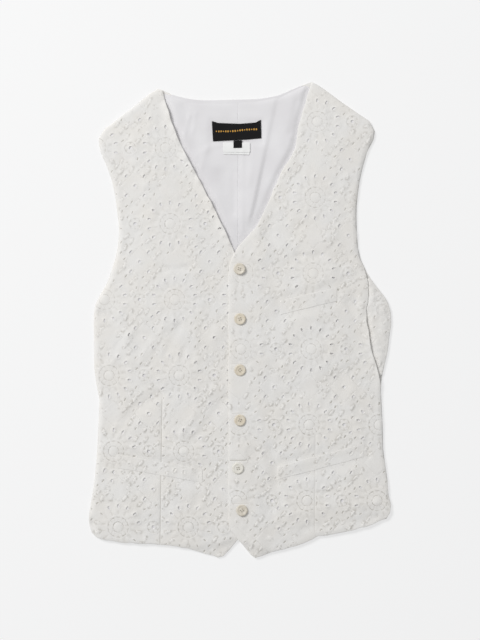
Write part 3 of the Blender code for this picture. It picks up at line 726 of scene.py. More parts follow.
def sun(centre):
    """A round motif with no hole: a smooth middle in a narrow groove, petals and a scalloped ring."""
    relief = [(*centre, SUN_LIFT)]
    for given in SUN_RINGS:
        relief += ring(centre, *given)
    for k in range(SUN_PETALS):
        a = 2 * math.pi * k / SUN_PETALS
        relief += [(*around(centre, r, a), lift) for r, lift in SUN_PETAL]
        relief += [(*around(centre, r, a + math.pi / SUN_PETALS), PETAL_GAP_LIFT) for r in SUN_PETAL_GAP]
    radius, count, depth = BROKEN_RING
    relief += [(x, y, -depth if k % 4 else 0.0) for k, (x, y, _) in enumerate(ring(centre, radius, count, 0))]
    for given in SUN_EDGE:
        relief += ring(centre, *given)
    return None, relief


def flower(centre):
    """A small flower round an eyelet: its stitched rim, six petals and a thin ring."""
    edge, relief = stitched_hole(centre, EYELET, EYELET, 0)
    for k in range(6):
        a = 2 * math.pi * k / 6
        relief += [(*around(centre, r, a), lift) for r, lift in FLOWER_PETAL]
        relief.append((*around(centre, 6, a + 0.52), -0.1))
    for given in FLOWER_RINGS:
        relief += ring(centre, *given)
    return edge, relief


def lozenge_sides(half_x, half_y):
    """The four sides of a lozenge round 0, each as its two ends."""
    corners = [np.array(c, float) for c in ((half_x, 0), (0, half_y), (-half_x, 0), (0, -half_y))]
    return zip(corners, corners[1:] + corners[:1])


def lozenge_line(centre, half_x, half_y, lift):
    """Points along the four sides of a lozenge."""
    out = []
    for a, b in lozenge_sides(half_x, half_y):
        count = round(np.linalg.norm(b - a) / LINE_STEP)
        out += [(*(centre + a + (b - a) * k / count), lift) for k in range(count)]
    return out


def lozenge(centre, half_x, half_y):
    """A smooth lozenge, a little domed, with a stitched line round it."""
    relief = [(*(centre + np.array((x, y))), LOZENGE_LIFT) for x, y in ((6, 0), (-6, 0), (0, 6), (0, -6))]
    for grow, lift in LOZENGE_LINES:
        relief += lozenge_line(centre, half_x + grow, half_y + grow, lift)
    return relief


def slot_places(centre, rng):
    """Where the slots of one repeat lie, which way each one points, and whether the solids have it too."""
    for k in range(RAYS):
        away = 2 * math.pi * (k + 0.5) / RAYS
        yield centre + RAY_RING * np.array((math.cos(away), math.sin(away))), away, True
    middle = centre + np.array((REPEAT_X, REPEAT_Y)) / 2
    for half_x, half_y, count in SLOT_ROWS:
        for a, b in lozenge_sides(half_x, half_y):
            for k in range(count):
                solid = half_x == ROW_X and k == count // 2
                shift, turn = (0, 0) if solid else (rng.uniform(-1.2, 1.2), rng.uniform(-0.3, 0.3))
                along = (b - a) / np.linalg.norm(b - a)
                yield middle + a + (b - a) * (k + 0.5) / count + shift * along, SLOT_TURN + turn, solid


def in_box(point, low, high):
    """Whether a point lies in a box."""
    return low[0] < point[0] < high[0] and low[1] < point[1] < high[1]


def open_lozenge(centre):
    """A lozenge with an eyelet in its middle."""
    edge, rim = stitched_hole(centre, LOZENGE_EYELET, LOZENGE_EYELET, 0)
    return edge, rim + lozenge(centre, *OPEN_LOZENGE)


def motifs_near(at, low, high):
    """The motifs whose middles lie in a box: middle, how near other slots come, hole's edge or None,
    relief."""
    found = []
    for centre in lattice(at):
        for (across, up), reach, motif in MOTIFS:
            place = centre + np.array((REPEAT_X * across, REPEAT_Y * up))
            if in_box(place, low, high):
                found.append((place, reach, *motif(place)))
    return found


# The motifs of one repeat. Columns: place in shares of the repeat, how near the other slots come, drawing
MOTIFS = (
    ((0, 0), 35.0, sun), ((0.5, 0), 12.5, flower), ((0.5, 0.5), 13.0, open_lozenge),
    ((0, 0.5), 15.0, lambda centre: (None, lozenge(centre, *PLAIN_LOZENGE))),
)


def embroidery(outline, at, open_area, keep_off, lines, seed):
    """The holes and the relief of one panel: x, y, lift. Holes are cut in the open area alone, and both
    are kept clear of the edge, the pockets and the buttons."""
    rng = random.Random(seed)
    low, high = np.min(outline, axis=0) - MOTIF_REACH, np.max(outline, axis=0) + MOTIF_REACH
    motifs = motifs_near(at, low, high)
    centres = np.array([m[0] for m in motifs])
    reaches = np.array([m[1] for m in motifs])
    relief = [p for m in motifs for p in m[3]]
    marks = [(m[0], m[2], [], []) for m in motifs if m[2] is not None]
    taken = [m[0] for m in motifs if m[2] is not None]
    slots = [(*given, rng.uniform(0.85, 1.1), rng.random()) for centre in lattice(at)
             for given in slot_places(centre, rng)]
    for place, angle, solid, grow, chance in sorted(slots, key=lambda slot: not slot[2]):
        if not in_box(place, low, high):
            continue
        if not solid and (np.linalg.norm(centres - place, axis=1) < reaches).any():
            continue
        if (np.linalg.norm(np.array(taken) - place, axis=1) < SLOT_SPACING).any():
            continue
        taken.append(place)
        share = OPEN_SHARE * (1 + 1.5 * noise.noise(Vector((*place / 60, seed))))
        pad = (stitched_dent if rng.random() < DENT_SHARE else stitched_pad)(place, grow, angle)
        if solid or chance < share:
            size = 1 if solid else FINE_HOLE * grow
            marks.append((place, *stitched_hole(place, SLOT_LENGTH * size, SLOT_WIDTH * size, angle), pad))
        else:
            relief += pad
    middles = np.array([mark[0] for mark in marks])
    keep = inside(middles, open_area) & clear_of(middles, outline, keep_off, lines, *HOLES_CLEAR)
    for (_, _, rim, pad), good in zip(marks, keep):
        relief += rim if good else pad
    relief = np.array(relief)
    relief[:, :2] += np.random.default_rng(seed).uniform(-UNEVEN, UNEVEN, (len(relief), 2))
    below = smooth(-relief[:, 1] / BELOW_REACH)
    relief[:, 2] *= 1.0 + MORE_BELOW * below + RELIEF_VARIES * rumple(relief[:, :2], RELIEF_PATCH, seed)
    relief = relief[clear_of(relief[:, :2], outline, keep_off, lines, *RELIEF_CLEAR)]
    return [mark[1] for mark, good in zip(marks, keep) if good], relief


def clear_of(points, outline, keep_off, lines, from_edge, from_area, from_line):
    """Whether each point lies in an outline and clear of its edge, of some areas and of some lines."""
    clear = inside(points, outline) & (distance(points, outline) > from_edge)
    for area in keep_off:
        clear &= ~inside(points, area) & (distance(points, area) > from_area)
    for line in lines:
        clear &= distance(points, line, False) > from_line
    return clear


def seam_line(line, depth, beside=0.9, lip=0.12):
    """The narrow valley of a seam or slit along a line, between two low lips."""
    out = []
    for a, b in zip(line, line[1:]):
        along = (b - a) / np.linalg.norm(b - a)
        side = np.array((-along[1], along[0]))
        count = max(1, round(float(np.linalg.norm(b - a)) / LINE_STEP))
        for k in range(count):
            p = a + (b - a) * k / count
            out += [(*p, -depth), (*(p + beside * side), lip), (*(p - beside * side), lip)]
    return out


def tree_of(points):
    """A search tree of points in plan."""
    tree = kdtree.KDTree(len(points))
    for k, p in enumerate(points):
        tree.insert((p[0], p[1], 0), k)
    tree.balance()
    return tree


def thinned(kept, points, least):
    """The points without those that lie too near a kept one or an earlier one."""
    every = [*kept, *points]
    tree = tree_of(every)
    gone = set()
    for k, p in enumerate(every):
        if k not in gone:
            gone.update(i for _, i, _ in tree.find_range((p[0], p[1], 0), least) if i > k)
    return [p for k, p in enumerate(every) if k >= len(kept) and k not in gone]


def outside_holes(points, holes):
    """The points that lie in none of the holes, nor right at their edges."""
    if not len(points) or not holes:
        return list(points)
    tree = tree_of(points)
    gone = set()
    for edge in holes:
        centre = np.mean(edge, axis=0)
        wide = [centre + (p - centre) * HOLE_MARGIN for p in edge]
        reach = max(np.linalg.norm(p - centre) for p in wide)
        near = [i for _, i, _ in tree.find_range((*centre, 0), reach)]
        if near:
            found = inside([points[i][:2] for i in near], wide)
            gone.update(i for i, hit in zip(near, found) if hit)
    return [p for k, p in enumerate(points) if k not in gone]


def filled(outline, holes, rims, relief, step, fine=None):
    """Points, their lifts and triangles that fill an outline, with the given points and a grid between
    them, closer in a given fine area. The outline's and the holes' points come first, in their order."""
    fixed = [(*p, 0.0) for p in outline] + [(*p, HOLE_EDGE_LIFT) for edge in holes for p in edge]
    edges = []
    first = 0
    for ring_points in (outline, *holes):
        n = len(ring_points)
        edges += [(first + i, first + (i + 1) % n) for i in range(n)]
        first += n
    extra = [*rims, *thinned(fixed, outside_holes(relief, holes), MOTIF_SPACING)]
    low, high = np.min(outline, axis=0), np.max(outline, axis=0)
    grid = staggered(low, high, step)
    if fine is not None:
        close = staggered(low, high, CLOTH_GRID)
        grid = np.concatenate((grid[~inside(grid, fine)], close[inside(close, fine)]))
        step = CLOTH_GRID
    grid = grid[inside(grid, outline)]
    grid = grid[distance(grid, outline) > 0.4 * step]
    tree = tree_of(fixed + extra)
    clear = min(0.5 * step, GRID_CLEAR)
    grid = [(x, y, 0.0) for x, y in grid if tree.find((x, y, 0))[2] > clear]
    points = np.array(fixed + extra + outside_holes(grid, holes))
    made = delaunay_2d_cdt([Vector(p[:2]) for p in points], edges, [], 0, 1e-6)
    flat = np.array([(v.x, v.y) for v in made[0]])
    lift = np.array([points[given[0], 2] if given else 0.0 for given in made[3]])
    triangles = np.array([f for f in made[2] if len(f) == 3])
    a, b, c = (flat[triangles[:, i]] for i in range(3))
    turn = (b[:, 0] - a[:, 0]) * (c[:, 1] - a[:, 1]) - (b[:, 1] - a[:, 1]) * (c[:, 0] - a[:, 0])
    triangles[turn < 0] = triangles[turn < 0][:, ::-1]
    keep = inside((a + b + c) / 3, outline) & (np.abs(turn) > 1e-7)
    ends = np.cumsum([len(outline)] + [len(edge) for edge in holes])
    owner = np.searchsorted(ends, triangles, side="right")
    in_hole = (owner[:, 0] == owner[:, 1]) & (owner[:, 1] == owner[:, 2])
    in_hole &= (owner[:, 0] > 0) & (owner[:, 0] < len(ends))
    return flat, lift, triangles[keep & ~in_hole], int(ends[-1])


def edge_rims(outline, radius):
    """Rings of points just inside an outline that round its edge off: x, y, lift."""
    out = []
    for d in RIM_RINGS:
        drop = radius * (1 - math.sqrt(1 - max(0.0, 1 - d / radius) ** 2))
        out += [(*p, -drop) for p in inset(outline, d)]
    return out


def mesh_object(name, vertices, faces, finish):
    """An object with a mesh, given in millimetres."""
    mesh = bpy.data.meshes.new(name)
    mesh.from_pydata([tuple(float(c) * MM for c in v) for v in vertices], [], faces)
    mesh.materials.append(finish)
    mesh.shade_smooth()
    mesh.set_sharp_from_angle(angle=SHARP)
    made = bpy.data.objects.new(name, mesh)
    bpy.context.scene.collection.objects.link(made)
    return made


def shell(name, outline, faced, plain, finish, holes=(), relief=(), step=CLOTH_GRID, back_step=PLAIN_GRID,
          rim_step=RIM_STEP, fine=None, rounding=ROUND):
    """A thin closed piece of cloth. Its faced side carries the relief and lies at one height, and its
    plain side at another, above or below."""
    outline = resampled(outline, rim_step)
    first = np.array(outline[:1])
    thick = faced(first)[0] - plain(first)[0]
    up = 1 if thick > 0 else -1
    radius = min(rounding, abs(thick) / 2 - 0.08)
    rims = edge_rims(outline, radius)
    front, lift, front_faces, shared = filled(outline, holes, rims, relief, step, fine)
    back, back_lift, back_faces, _ = filled(outline, holes, rims, (), back_step, fine)
    rounded = np.isin(lift, [point[2] for point in rims])
    # The relief's lift also drives the cloth's painted shade in its troughs and painted highlight on its
    # raised stitches; the rounded edges get none
    tone = np.concatenate((np.where(rounded, 0, lift), np.zeros(len(back))))
    lift[:len(outline)] = -radius
    back_lift[:len(outline)] = -radius
    back_lift[len(outline):shared] = 0
    n = len(front)
    vertices = [(x, y, z) for (x, y), z in zip(front, faced(front) + up * lift)]
    vertices += [(x, y, z) for (x, y), z in zip(back, plain(back) - up * back_lift)]
    ways = {(int(t[i]), int(t[(i + 1) % 3])) for t in front_faces for i in range(3)}
    rim = [(a, b) for a, b in sorted(ways) if (b, a) not in ways and a < shared and b < shared]
    faces = [tuple(int(v) for v in t) for t in front_faces]
    faces += [tuple(int(v) + n for v in t[::-1]) for t in back_faces]
    faces += [(a + n, b + n, b, a) for a, b in rim]
    used = np.zeros(len(vertices), bool)
    used[[v for f in faces for v in f]] = True
    index = np.cumsum(used) - 1
    vertices = [v for v, keep in zip(vertices, used) if keep]
    faces = [tuple(int(index[v]) for v in (f if up > 0 else f[::-1])) for f in faces]
    made = mesh_object(name, vertices, faces, finish)
    attribute = made.data.attributes.new("relief", "FLOAT", "POINT")
    attribute.data.foreach_set("value", tone[used].astype(np.float32))
    return made


def shader_of(name, roughness, sheen=0.0, specular=0.3, coat=0.0):
    """A new material, and its shader with the values that stay constant."""
    made = bpy.data.materials.new(name)
    made.use_nodes = True
    shader = made.node_tree.nodes["Principled BSDF"]
    shader.inputs["Roughness"].default_value = roughness
    shader.inputs["Metallic"].default_value = 0
    shader.inputs["Specular IOR Level"].default_value = specular
    shader.inputs["Sheen Weight"].default_value = sheen
    shader.inputs["Sheen Roughness"].default_value = 0.5
    shader.inputs["Coat Weight"].default_value = coat
    shader.inputs["Coat Roughness"].default_value = 0.12
    return made, made.node_tree, shader


def noise_of(tree, scale, detail=2.0, roughness=0.5):
    """A soft noise that is fixed to the piece."""
    place = tree.nodes.new("ShaderNodeTexCoord")
    made = tree.nodes.new("ShaderNodeTexNoise")
    made.inputs["Scale"].default_value = scale
    made.inputs["Detail"].default_value = detail
    made.inputs["Roughness"].default_value = roughness
    tree.links.new(place.outputs["Object"], made.inputs["Vector"])
    return made.outputs["Fac"]


def spread(tree, value, low, high):
    """A value's range turned to 0 to 1."""
    made = tree.nodes.new("ShaderNodeMapRange")
    made.inputs["From Min"].default_value = low
    made.inputs["From Max"].default_value = high
    tree.links.new(value, made.inputs["Value"])
    return made.outputs["Result"]


def mixed(tree, factor, low, high):
    """A colour between two colours or between a colour and another mix."""
    made = tree.nodes.new("ShaderNodeMix")
    made.data_type = "RGBA"
    tree.links.new(factor, made.inputs["Factor"])
    for socket, colour in (("A", low), ("B", high)):
        place = next(s for s in made.inputs if s.name == socket and s.type == "RGBA")
        if isinstance(colour, tuple):
            place.default_value = (*colour, 1)
        else:
            tree.links.new(colour, place)
    return next(s for s in made.outputs if s.type == "RGBA")


def bumped(tree, shader, value, strength, depth):
    """Gives a shader a fine bump from a value."""
    made = tree.nodes.new("ShaderNodeBump")
    made.inputs["Strength"].default_value = strength
    made.inputs["Distance"].default_value = depth
    tree.links.new(value, made.inputs["Height"])
    tree.links.new(made.outputs["Normal"], shader.inputs["Normal"])


def eyelet_cloth():
    """Off-white cotton, with a painted highlight on its raised stitches and a darker, warmer painted shade in
    its troughs.
    """
    made, tree, shader = shader_of("eyelet_cloth", 0.86, sheen=0.25, specular=0.2)
    relief = tree.nodes.new("ShaderNodeAttribute")
    relief.attribute_name = "relief"
    cloth = mixed(tree, spread(tree, noise_of(tree, 28), 0.35, 0.65), CLOTH_WARM, CLOTH_COOL)
    # painted highlight: the colour goes paler where the relief stands up
    raised = mixed(tree, spread(tree, relief.outputs["Fac"], 0.1, 0.7), cloth, PAINTED_STITCH_HIGHLIGHT)
    # painted shade: the colour goes darker and warmer where the relief is sunk
    sunk = mixed(tree, spread(tree, relief.outputs["Fac"], -0.25, 0.0), PAINTED_TROUGH_SHADE, raised)
    tree.links.new(sunk, shader.inputs["Base Color"])
    bumped(tree, shader, noise_of(tree, 620, 3.0, 0.7), 0.55, 0.0006)
    return made


def lining_cotton():
    """Smooth plain cotton, a little cooler than the outer cloth."""
    made, tree, shader = shader_of("lining_cotton", 0.8, sheen=0.15, specular=0.2)
    tree.links.new(mixed(tree, spread(tree, noise_of(tree, 22), 0.35, 0.65), LINING_SHADE, LINING_LIT),
                   shader.inputs["Base Color"])
    bumped(tree, shader, noise_of(tree, 1500, 2.0), 0.2, 0.0003)
    return made


def button_shell(name, dark, pale):
    """Dull shell, clouded between two colours."""
    made, tree, shader = shader_of(name, 0.5, specular=0.35, coat=0.1)
    tree.links.new(mixed(tree, spread(tree, noise_of(tree, 210, 3.0), 0.3, 0.7), dark, pale),
                   shader.inputs["Base Color"])
    return made


def plain(name, colour, roughness, grain=0.0):
    """One colour, with a fine grain where it is woven."""
    made, tree, shader = shader_of(name, roughness, specular=0.2)
    shader.inputs["Base Color"].default_value = (*colour, 1)
    if grain:
        bumped(tree, shader, noise_of(tree, 1300, 2.0), grain, 0.0004)
    return made


def ready(piece, nodes):
    """The piece rides with the waistcoat and stands for its solids."""
    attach(piece, "root")
    if nodes:
        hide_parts(*nodes)
    return piece


def laid(outline, size=None):
    """Works out the size of a sheet cut to its outline, or takes a given one, and the outline's area; neither
    is kept.
    """
    if size is None:
        size = (np.max(outline, axis=0) - np.min(outline, axis=0)) * MM
    area_of(outline)


def tube(path, radius):
    """The points and faces of a closed, thin tube along a path of points."""
    path = [Vector(p) for p in path]
    vertices, faces = [], []
    for k, p in enumerate(path):
        along = (path[min(k + 1, len(path) - 1)] - path[max(k - 1, 0)]).normalized()
        side = along.cross(Vector((0, 0, 1)))
        side = side.normalized() if side.length > 0.1 else Vector((1, 0, 0))
        up = side.cross(along).normalized()
        for i in range(TUBE_SIDES):
            a = 2 * math.pi * i / TUBE_SIDES
            vertices.append(p + radius * (math.cos(a) * side + math.sin(a) * up))
    last = (len(path) - 1) * TUBE_SIDES
    for k in range(0, last, TUBE_SIDES):
        for i in range(TUBE_SIDES):
            j = (i + 1) % TUBE_SIDES
            faces.append((k + i, k + j, k + TUBE_SIDES + j, k + TUBE_SIDES + i))
    faces += [tuple(range(TUBE_SIDES))[::-1], tuple(range(last, last + TUBE_SIDES))]
    return vertices, faces


def tubes(name, paths, radius, finish):
    """One object with a tube along each path."""
    vertices, faces = [], []
    for path in paths:
        more, sheets = tube(path, radius)
        faces += [tuple(v + len(vertices) for v in f) for f in sheets]
        vertices += more
    return mesh_object(name, vertices, faces, finish)


def turned_side_top(plan):
    """The turned side's upper side, which comes up against the front's edge in its upper half."""
    cut = wavy(outlines()[2])
    off = distance(plan, cut)
    beside = smooth((off - 0.1) / 0.7) * (1 - 0.7 * smooth(off / 12)) * ~inside(plan, cut)
    return turned_side_height(plan) + TURN_THICK + TURN_RISE * beside * smooth((plan[:, 1] - 6) / 16)


def back_pieces(cloth, lining, open_area):
    """The two halves of the back, with their embroidery on the side that lies underneath, the turned
    side and the bound neck edge."""
    back = outlines()[0]
    cut = inset(back, 0.6)
    for name, side, at in (("back_right", -1, RIGHT_REPEAT_AT), ("back_left", 1, LEFT_REPEAT_AT)):
        outline = clipped(cut, SEAM_X + side * GAP / 2, side)
        holes, relief = embroidery(outline, at, open_area, [], [], 11 + side)
        relief[:, 2] = np.minimum(relief[:, 2], BACK_LIFT)
        piece = shell(name + "_cloth", outline, lambda p: np.full(len(p), BACK_LIFT),
                      lambda p: np.full(len(p), BACK_THICK), cloth, holes, relief, step=BACK_GRID)
        ready(piece, [name])
        laid(outline)
    strip = turned_side_outline()
    _, relief = embroidery(strip, TURN_REPEAT_AT, strip, [], [], 5)
    beside = np.array([(x + off, y, 0) for x, y in wavy(outlines()[2]) for off in SEAM_POINTS])
    beside = beside[(distance(beside[:, :2], curve(SEAM_LEFT), False) < 3) & inside(beside[:, :2], strip)
                    & (distance(beside[:, :2], strip) > 1.5)]
    relief = [*relief, *beside]
    def creased(plan):
        return turned_side_top(plan) + TURN_CREASE * rumple(plan, 7, 3.0) * smooth(distance(plan, strip) / 4)

    piece = shell("back_left_turn_cloth", strip, creased, turned_side_height, cloth, [], relief,
                  step=1.8, back_step=6.0)
    ready(piece, ["back_left_turn"])
    laid(strip)
    upper = curve(NECK_BACK[1:-1])
    band = loop([p + np.array((0, -NECK_EDGE_INSET)) for p in upper],
                [p + np.array((0, -NECK_EDGE_INSET - NECK_EDGE_WIDTH)) for p in upper[::-1]])
    base = BACK_THICK + GAP + LINING_THICK + NECK_EDGE_GAP
    piece = shell("back_neck_edge_cloth", band, lambda p: base + NECK_EDGE_THICK + 0.1 * rumple(p, 9, 2.0),
                  lambda p: np.full(len(p), base), lining, step=2.6, back_step=5.0, rim_step=2.0)
    ready(piece, ["back_neck_edge"])
    length = sum(np.linalg.norm(b - a) for a, b in zip(upper, upper[1:]))
    laid(band, size=(length * MM, NECK_EDGE_CUT * MM))


def near_edge(plan, outline):
    """How much of the cloth's unevenness shows: all of it away from an edge, and less along it."""
    return 0.4 + 0.6 * smooth(distance(plan, outline) / 8)


def front_foot(outline, under, creases):
    """The underside of a front's cloth, which is turned in and so thicker along its edge, and which
    goes down with the cloth's troughs."""
    def foot(plan):
        share = smooth((distance(plan, outline) - 2) / 8)
        sunk = np.minimum(0, folds(plan, creases)) * near_edge(plan, outline)
        low = under(plan)
        return np.maximum(low, low + (FRONT_THICK - CLOTH_THICK) * share + sunk * share)

    return foot


def side_roll(plan, sewn):
    """How much higher than the solid the cloth stays along a sewn edge, before it turns down there."""
    off = distance(plan, sewn, False)
    full = (1 - smooth(off / RIM_WIDTH)) * smooth((off - 0.3) / 6) * smooth((plan[:, 1] + 262) / 12)
    return (LINING_THICK + GAP) * full


def long_fold(plan):
    """The lining's long fold: the cloth rises towards it, drops there, and is slack beyond it."""
    xs, ys = np.transpose(curve(LONG_FOLD)[::-1])
    off = (plan[:, 0] - np.interp(plan[:, 1], ys, xs)) * 0.97
    strength = smooth((plan[:, 1] - FOLD_FOOT_Y) / 24) * (1 - 0.6 * smooth((plan[:, 1] - FOLD_FADE_Y) / 70))
    rise = FOLD_RISE * strength * smooth((off + FOLD_SLOPE) / FOLD_SLOPE) * (1 - smooth(off / FOLD_DROP))
    return rise + FOLD_SLACK * smooth(off / SLACK_WIDTH)


def curled(under, edge, rise):
    """The height of a front's underside whose edge stands off unevenly."""
    return lambda plan: under(plan) + rise * smooth(1 - distance(plan, edge, False) / CURL_REACH) * (
        np.clip(0.95 + 1.2 * rumple(plan, CURL_SIZE, 4.0), 0.3, 1.35))


def lining_top(neck_area, fronts):
    """The lining's upper side: with its folds in the neck's V, and right below the fronts elsewhere."""
    def top(plan):
        flat = np.full(len(plan), BACK_THICK + GAP + LINING_THICK)
        depth = distance(plan, neck_area) * inside(plan, neck_area)
        off_label = distance(plan, label_outline(NECK_LABEL)) * ~inside(plan, label_outline(NECK_LABEL))
        calm = smooth(depth / LINING_CALM) * (0.2 + 0.8 * smooth(off_label / LABEL_CALM))
        height = flat + calm * np.maximum(
            -0.2, 0.9 + long_fold(plan) + folds(plan, LINING_CREASES) + 0.35 * rumple(plan, 20, 8.0))
        for outline, foot, from_x in fronts:
            into = distance(plan, outline) * inside(plan, outline)
            share = smooth((into - 2) / 5) * smooth((plan[:, 0] - from_x) / 7)
            height = np.maximum(height, flat + share * (foot(plan) - UNDER_GAP - flat))
        return height

    return top


def lining_outline():
    """The lining's whole outline, with its upper edge under the turned edge of the neck."""
    side = curve(SIDE_LEFT, HIDDEN_STEP)
    neck = [p + np.array((0, LINING_INSET - 2.0)) for p in curve(NECK_BACK)]
    return inset(loop(neck, curve(SHOULDER_LEFT[::-1], HIDDEN_STEP),
                      [p for p in side if p[1] > SEAM_LEFT[0][1]], curve(SEAM_LEFT),
                      [p for p in side if p[1] < SEAM_LEFT[-1][1]], curve(HEM_BACK[::-1], HIDDEN_STEP),
                      curve(SIDE_RIGHT[::-1], HIDDEN_STEP), curve(SHOULDER_RIGHT, HIDDEN_STEP)),
                 LINING_INSET)


def lining_pieces(lining, whole, neck_area, top):
    """The two halves of the lining."""
    for name, way in (("lining_right", -1), ("lining_left", 1)):
        outline = clipped(whole, SEAM_X + way * SEAM_GAP / 2, way)
        piece = shell(name + "_cloth", outline, top, lambda p: top(p) - LINING_THICK, lining,
                      step=LINING_GRID, back_step=LINING_GRID, rim_step=4.0, fine=neck_area, rounding=0.15)
        ready(piece, [name])
        laid(outline)


def on_lining(top):
    """The height of a label that lies on the lining, with its own soft waves."""
    return lambda plan: top(plan) + GAP + 0.35 * (1 + rumple(plan, 13, 5.0))


def ribbon(name, outline, low, heights, finish, steps=LABEL_STEPS):
    """A flat piece of ribbon between two heights over a given one."""
    foot, high = heights
    return shell(name, outline, lambda p: low(p) + high, lambda p: low(p) + foot, finish, **steps)


def labels(top, finishes):
    """The woven neck label with a plain row of small lozenges, the tab and the two-leaved care label."""
    black, white, gold = finishes
    outline = loop(*(curve(pair) for pair in zip(NECK_LABEL_EDGE, NECK_LABEL_EDGE[1:] + NECK_LABEL_EDGE[:1])))
    low = on_lining(top)
    plate = ribbon("neck_label_cloth", outline, low, LABEL_AT, black)
    ready(plate, ["neck_label"])
    vertices, faces = [], []
    first, last, middle_y, spacing = LOZENGE_ROW
    x, k = first, 0
    while x < last:
        y = middle_y + ROW_SLOPE * x + ROW_WAVE * math.sin(x / 9)
        half_x, half_y = LOZENGE_SIZES[0 if k % 3 else 1]
        z = float(low(np.array(((x, y),)))[0]) + LABEL_AT[1]
        n = len(vertices)
        corners = [(x + half_x * math.cos(a) * 1.15, y + half_y * math.sin(a))
                   for a in (2 * math.pi * i / 6 + math.pi / 6 for i in range(6))]
        vertices += [(*c, z - ROW_SUNK) for c in corners] + [(x, y, z + ROW_LIFT)]
        faces += [(n + i, n + (i + 1) % 6, n + 6) for i in range(6)] + [tuple(range(n + 5, n - 1, -1))]
        x, k = x + spacing, k + 1
    row = mesh_object("neck_label_motifs", vertices, faces, gold)
    row.data.shade_flat()
    ready(row, [])
    left, right, _, foot, _ = SIZE_TAB
    tab_outline = label_outline((left, right, NECK_LABEL_EDGE[-2][1] - 0.2, foot, -0.3))
    tab = ribbon("size_tab_cloth", tab_outline, low, TAB_AT, black, TAB_STEPS)
    ready(tab, ["size_tab"])
    laid(outline)
    upper = label_outline(CARE_LABEL)
    left, right, high, foot, drop = CARE_LABEL
    lower = label_outline((left + 0.8, right - 0.6, high - 1, foot - 2.8, drop + 0.3))
    leaf = ribbon("care_label_under", lower, low, UNDER_LEAF_AT, white)
    ready(leaf, [])
    main_leaf = ribbon("care_label_cloth", upper, low, CARE_AT, white)
    ready(main_leaf, ["care_label"])
    laid(upper)


def front_pieces(name, outline, under, foot, open_area, at, table, creases, welts, cloth, slits, look):
    """One front with its embroidery, and the welts that lie on it. Its look is a seed, the depth of its
    dart, its sewn edge and the edge towards which it gets thin."""
    seed, dart_depth, sewn, thin = look
    cut = wavy(outline)
    dart = curve(((table[0][0], table[0][1]), (table[0][2], table[0][3] + 4)))

    def top(plan):
        uneven = pucker(plan, at, seed) + folds(plan, creases)
        thinner = THIN_EDGE * (1 - smooth(distance(plan, thin, False) / THIN_REACH))
        full = FRONT_THICK + side_roll(plan, sewn) - thinner
        return under(plan) + full + near_edge(plan, cut) * uneven

    calm = [disc(x, y, BUTTON_RADIUS - 2) for x, y in BUTTONS] if slits else []
    holes, relief = embroidery(cut, at, open_area, [*welts.values(), *calm], [dart, *slits], seed)
    if slits:
        near = np.min([np.hypot(*(relief[:, :2] - b).T) for b in np.array(BUTTONS)], 0)
        relief[:, 2] *= 0.15 + 0.85 * smooth((near - BUTTON_CALM) / 8)
    relief = [*relief, *seam_line(dart, dart_depth)]
    for slit, (_, _, depth) in zip(slits, BUTTONHOLES):
        relief += seam_line(slit, depth, 1.3, depth / 3)
    panel = shell(name + "_cloth", cut, top, foot, cloth, holes, relief)
    ready(panel, [name])
    laid(outline)
    for welt_name, area in welts.items():
        edge = wavy(area, WELT_WAVE)
        more_holes, more = embroidery(edge, at, open_area, [], [], seed)
        low = lambda plan: top(plan) + WELT_GAP
        piece = shell(welt_name + "_cloth", edge, lambda plan: low(plan) + WELT_RISE, low, cloth, more_holes,
                      more, back_step=5.0)
        ready(piece, [welt_name])
        laid(area)


def disc(x, y, radius, sides=20):
    """A round outline."""
    return [np.array(around((x, y), radius, 2 * math.pi * k / sides)) for k in range(sides)]


def buttons(finishes, thread):
    """Six turned buttons with four holes, each tilted a little as it lies."""
    paths = []
    base = BACK_THICK + LINING_THICK + 2 * FRONT_THICK + 5 * GAP
    for number, ((x, y), (tilt_x, tilt_y, tone)) in enumerate(zip(BUTTONS, BUTTON_LEAN), 1):
        radii, heights = np.transpose(BUTTON_PROFILE)
        middle = np.array((x, y))
        lean = lambda p: (p - middle) @ np.array((tilt_x, tilt_y)) + 6 * math.hypot(tilt_x, tilt_y)
        face = lambda p: base + lean(p) + np.interp(np.linalg.norm(p - middle, axis=1), radii, heights)
        foot = lambda p: base + lean(p) + 0.2
        angles = [0.5 * number + k * math.pi / 2 for k in range(4)]
        places = [middle + BUTTON_HOLES_AT * np.array((math.cos(a), math.sin(a))) for a in angles]
        holes = [disc(*p, BUTTON_HOLE, 9) for p in places]
        points = [(px, py, 0.0) for r in BUTTON_RINGS for px, py in disc(x, y, r, 36)]
        piece = shell(f"button_{number}_turned", disc(x, y, BUTTON_RADIUS, 48), face, foot, finishes[tone],
                      holes, points, step=1.6, back_step=3.0, rim_step=1.6)
        piece.data.set_sharp_from_angle(angle=BUTTON_SHARP)
        ready(piece, [f"button_{number}"])
        for a, b in ((0, 1), (2, 3)):
            ends = np.array((places[a], places[b]))
            z = face(ends)
            paths.append([(*(ends[0] + (ends[1] - ends[0]) * (0.04 + 0.92 * t)),
                           float(z[0] + (z[1] - z[0]) * t) + lift) for t, lift in STITCH])
    ready(tubes("button_threads", paths, THREAD_RADIUS, thread), [])


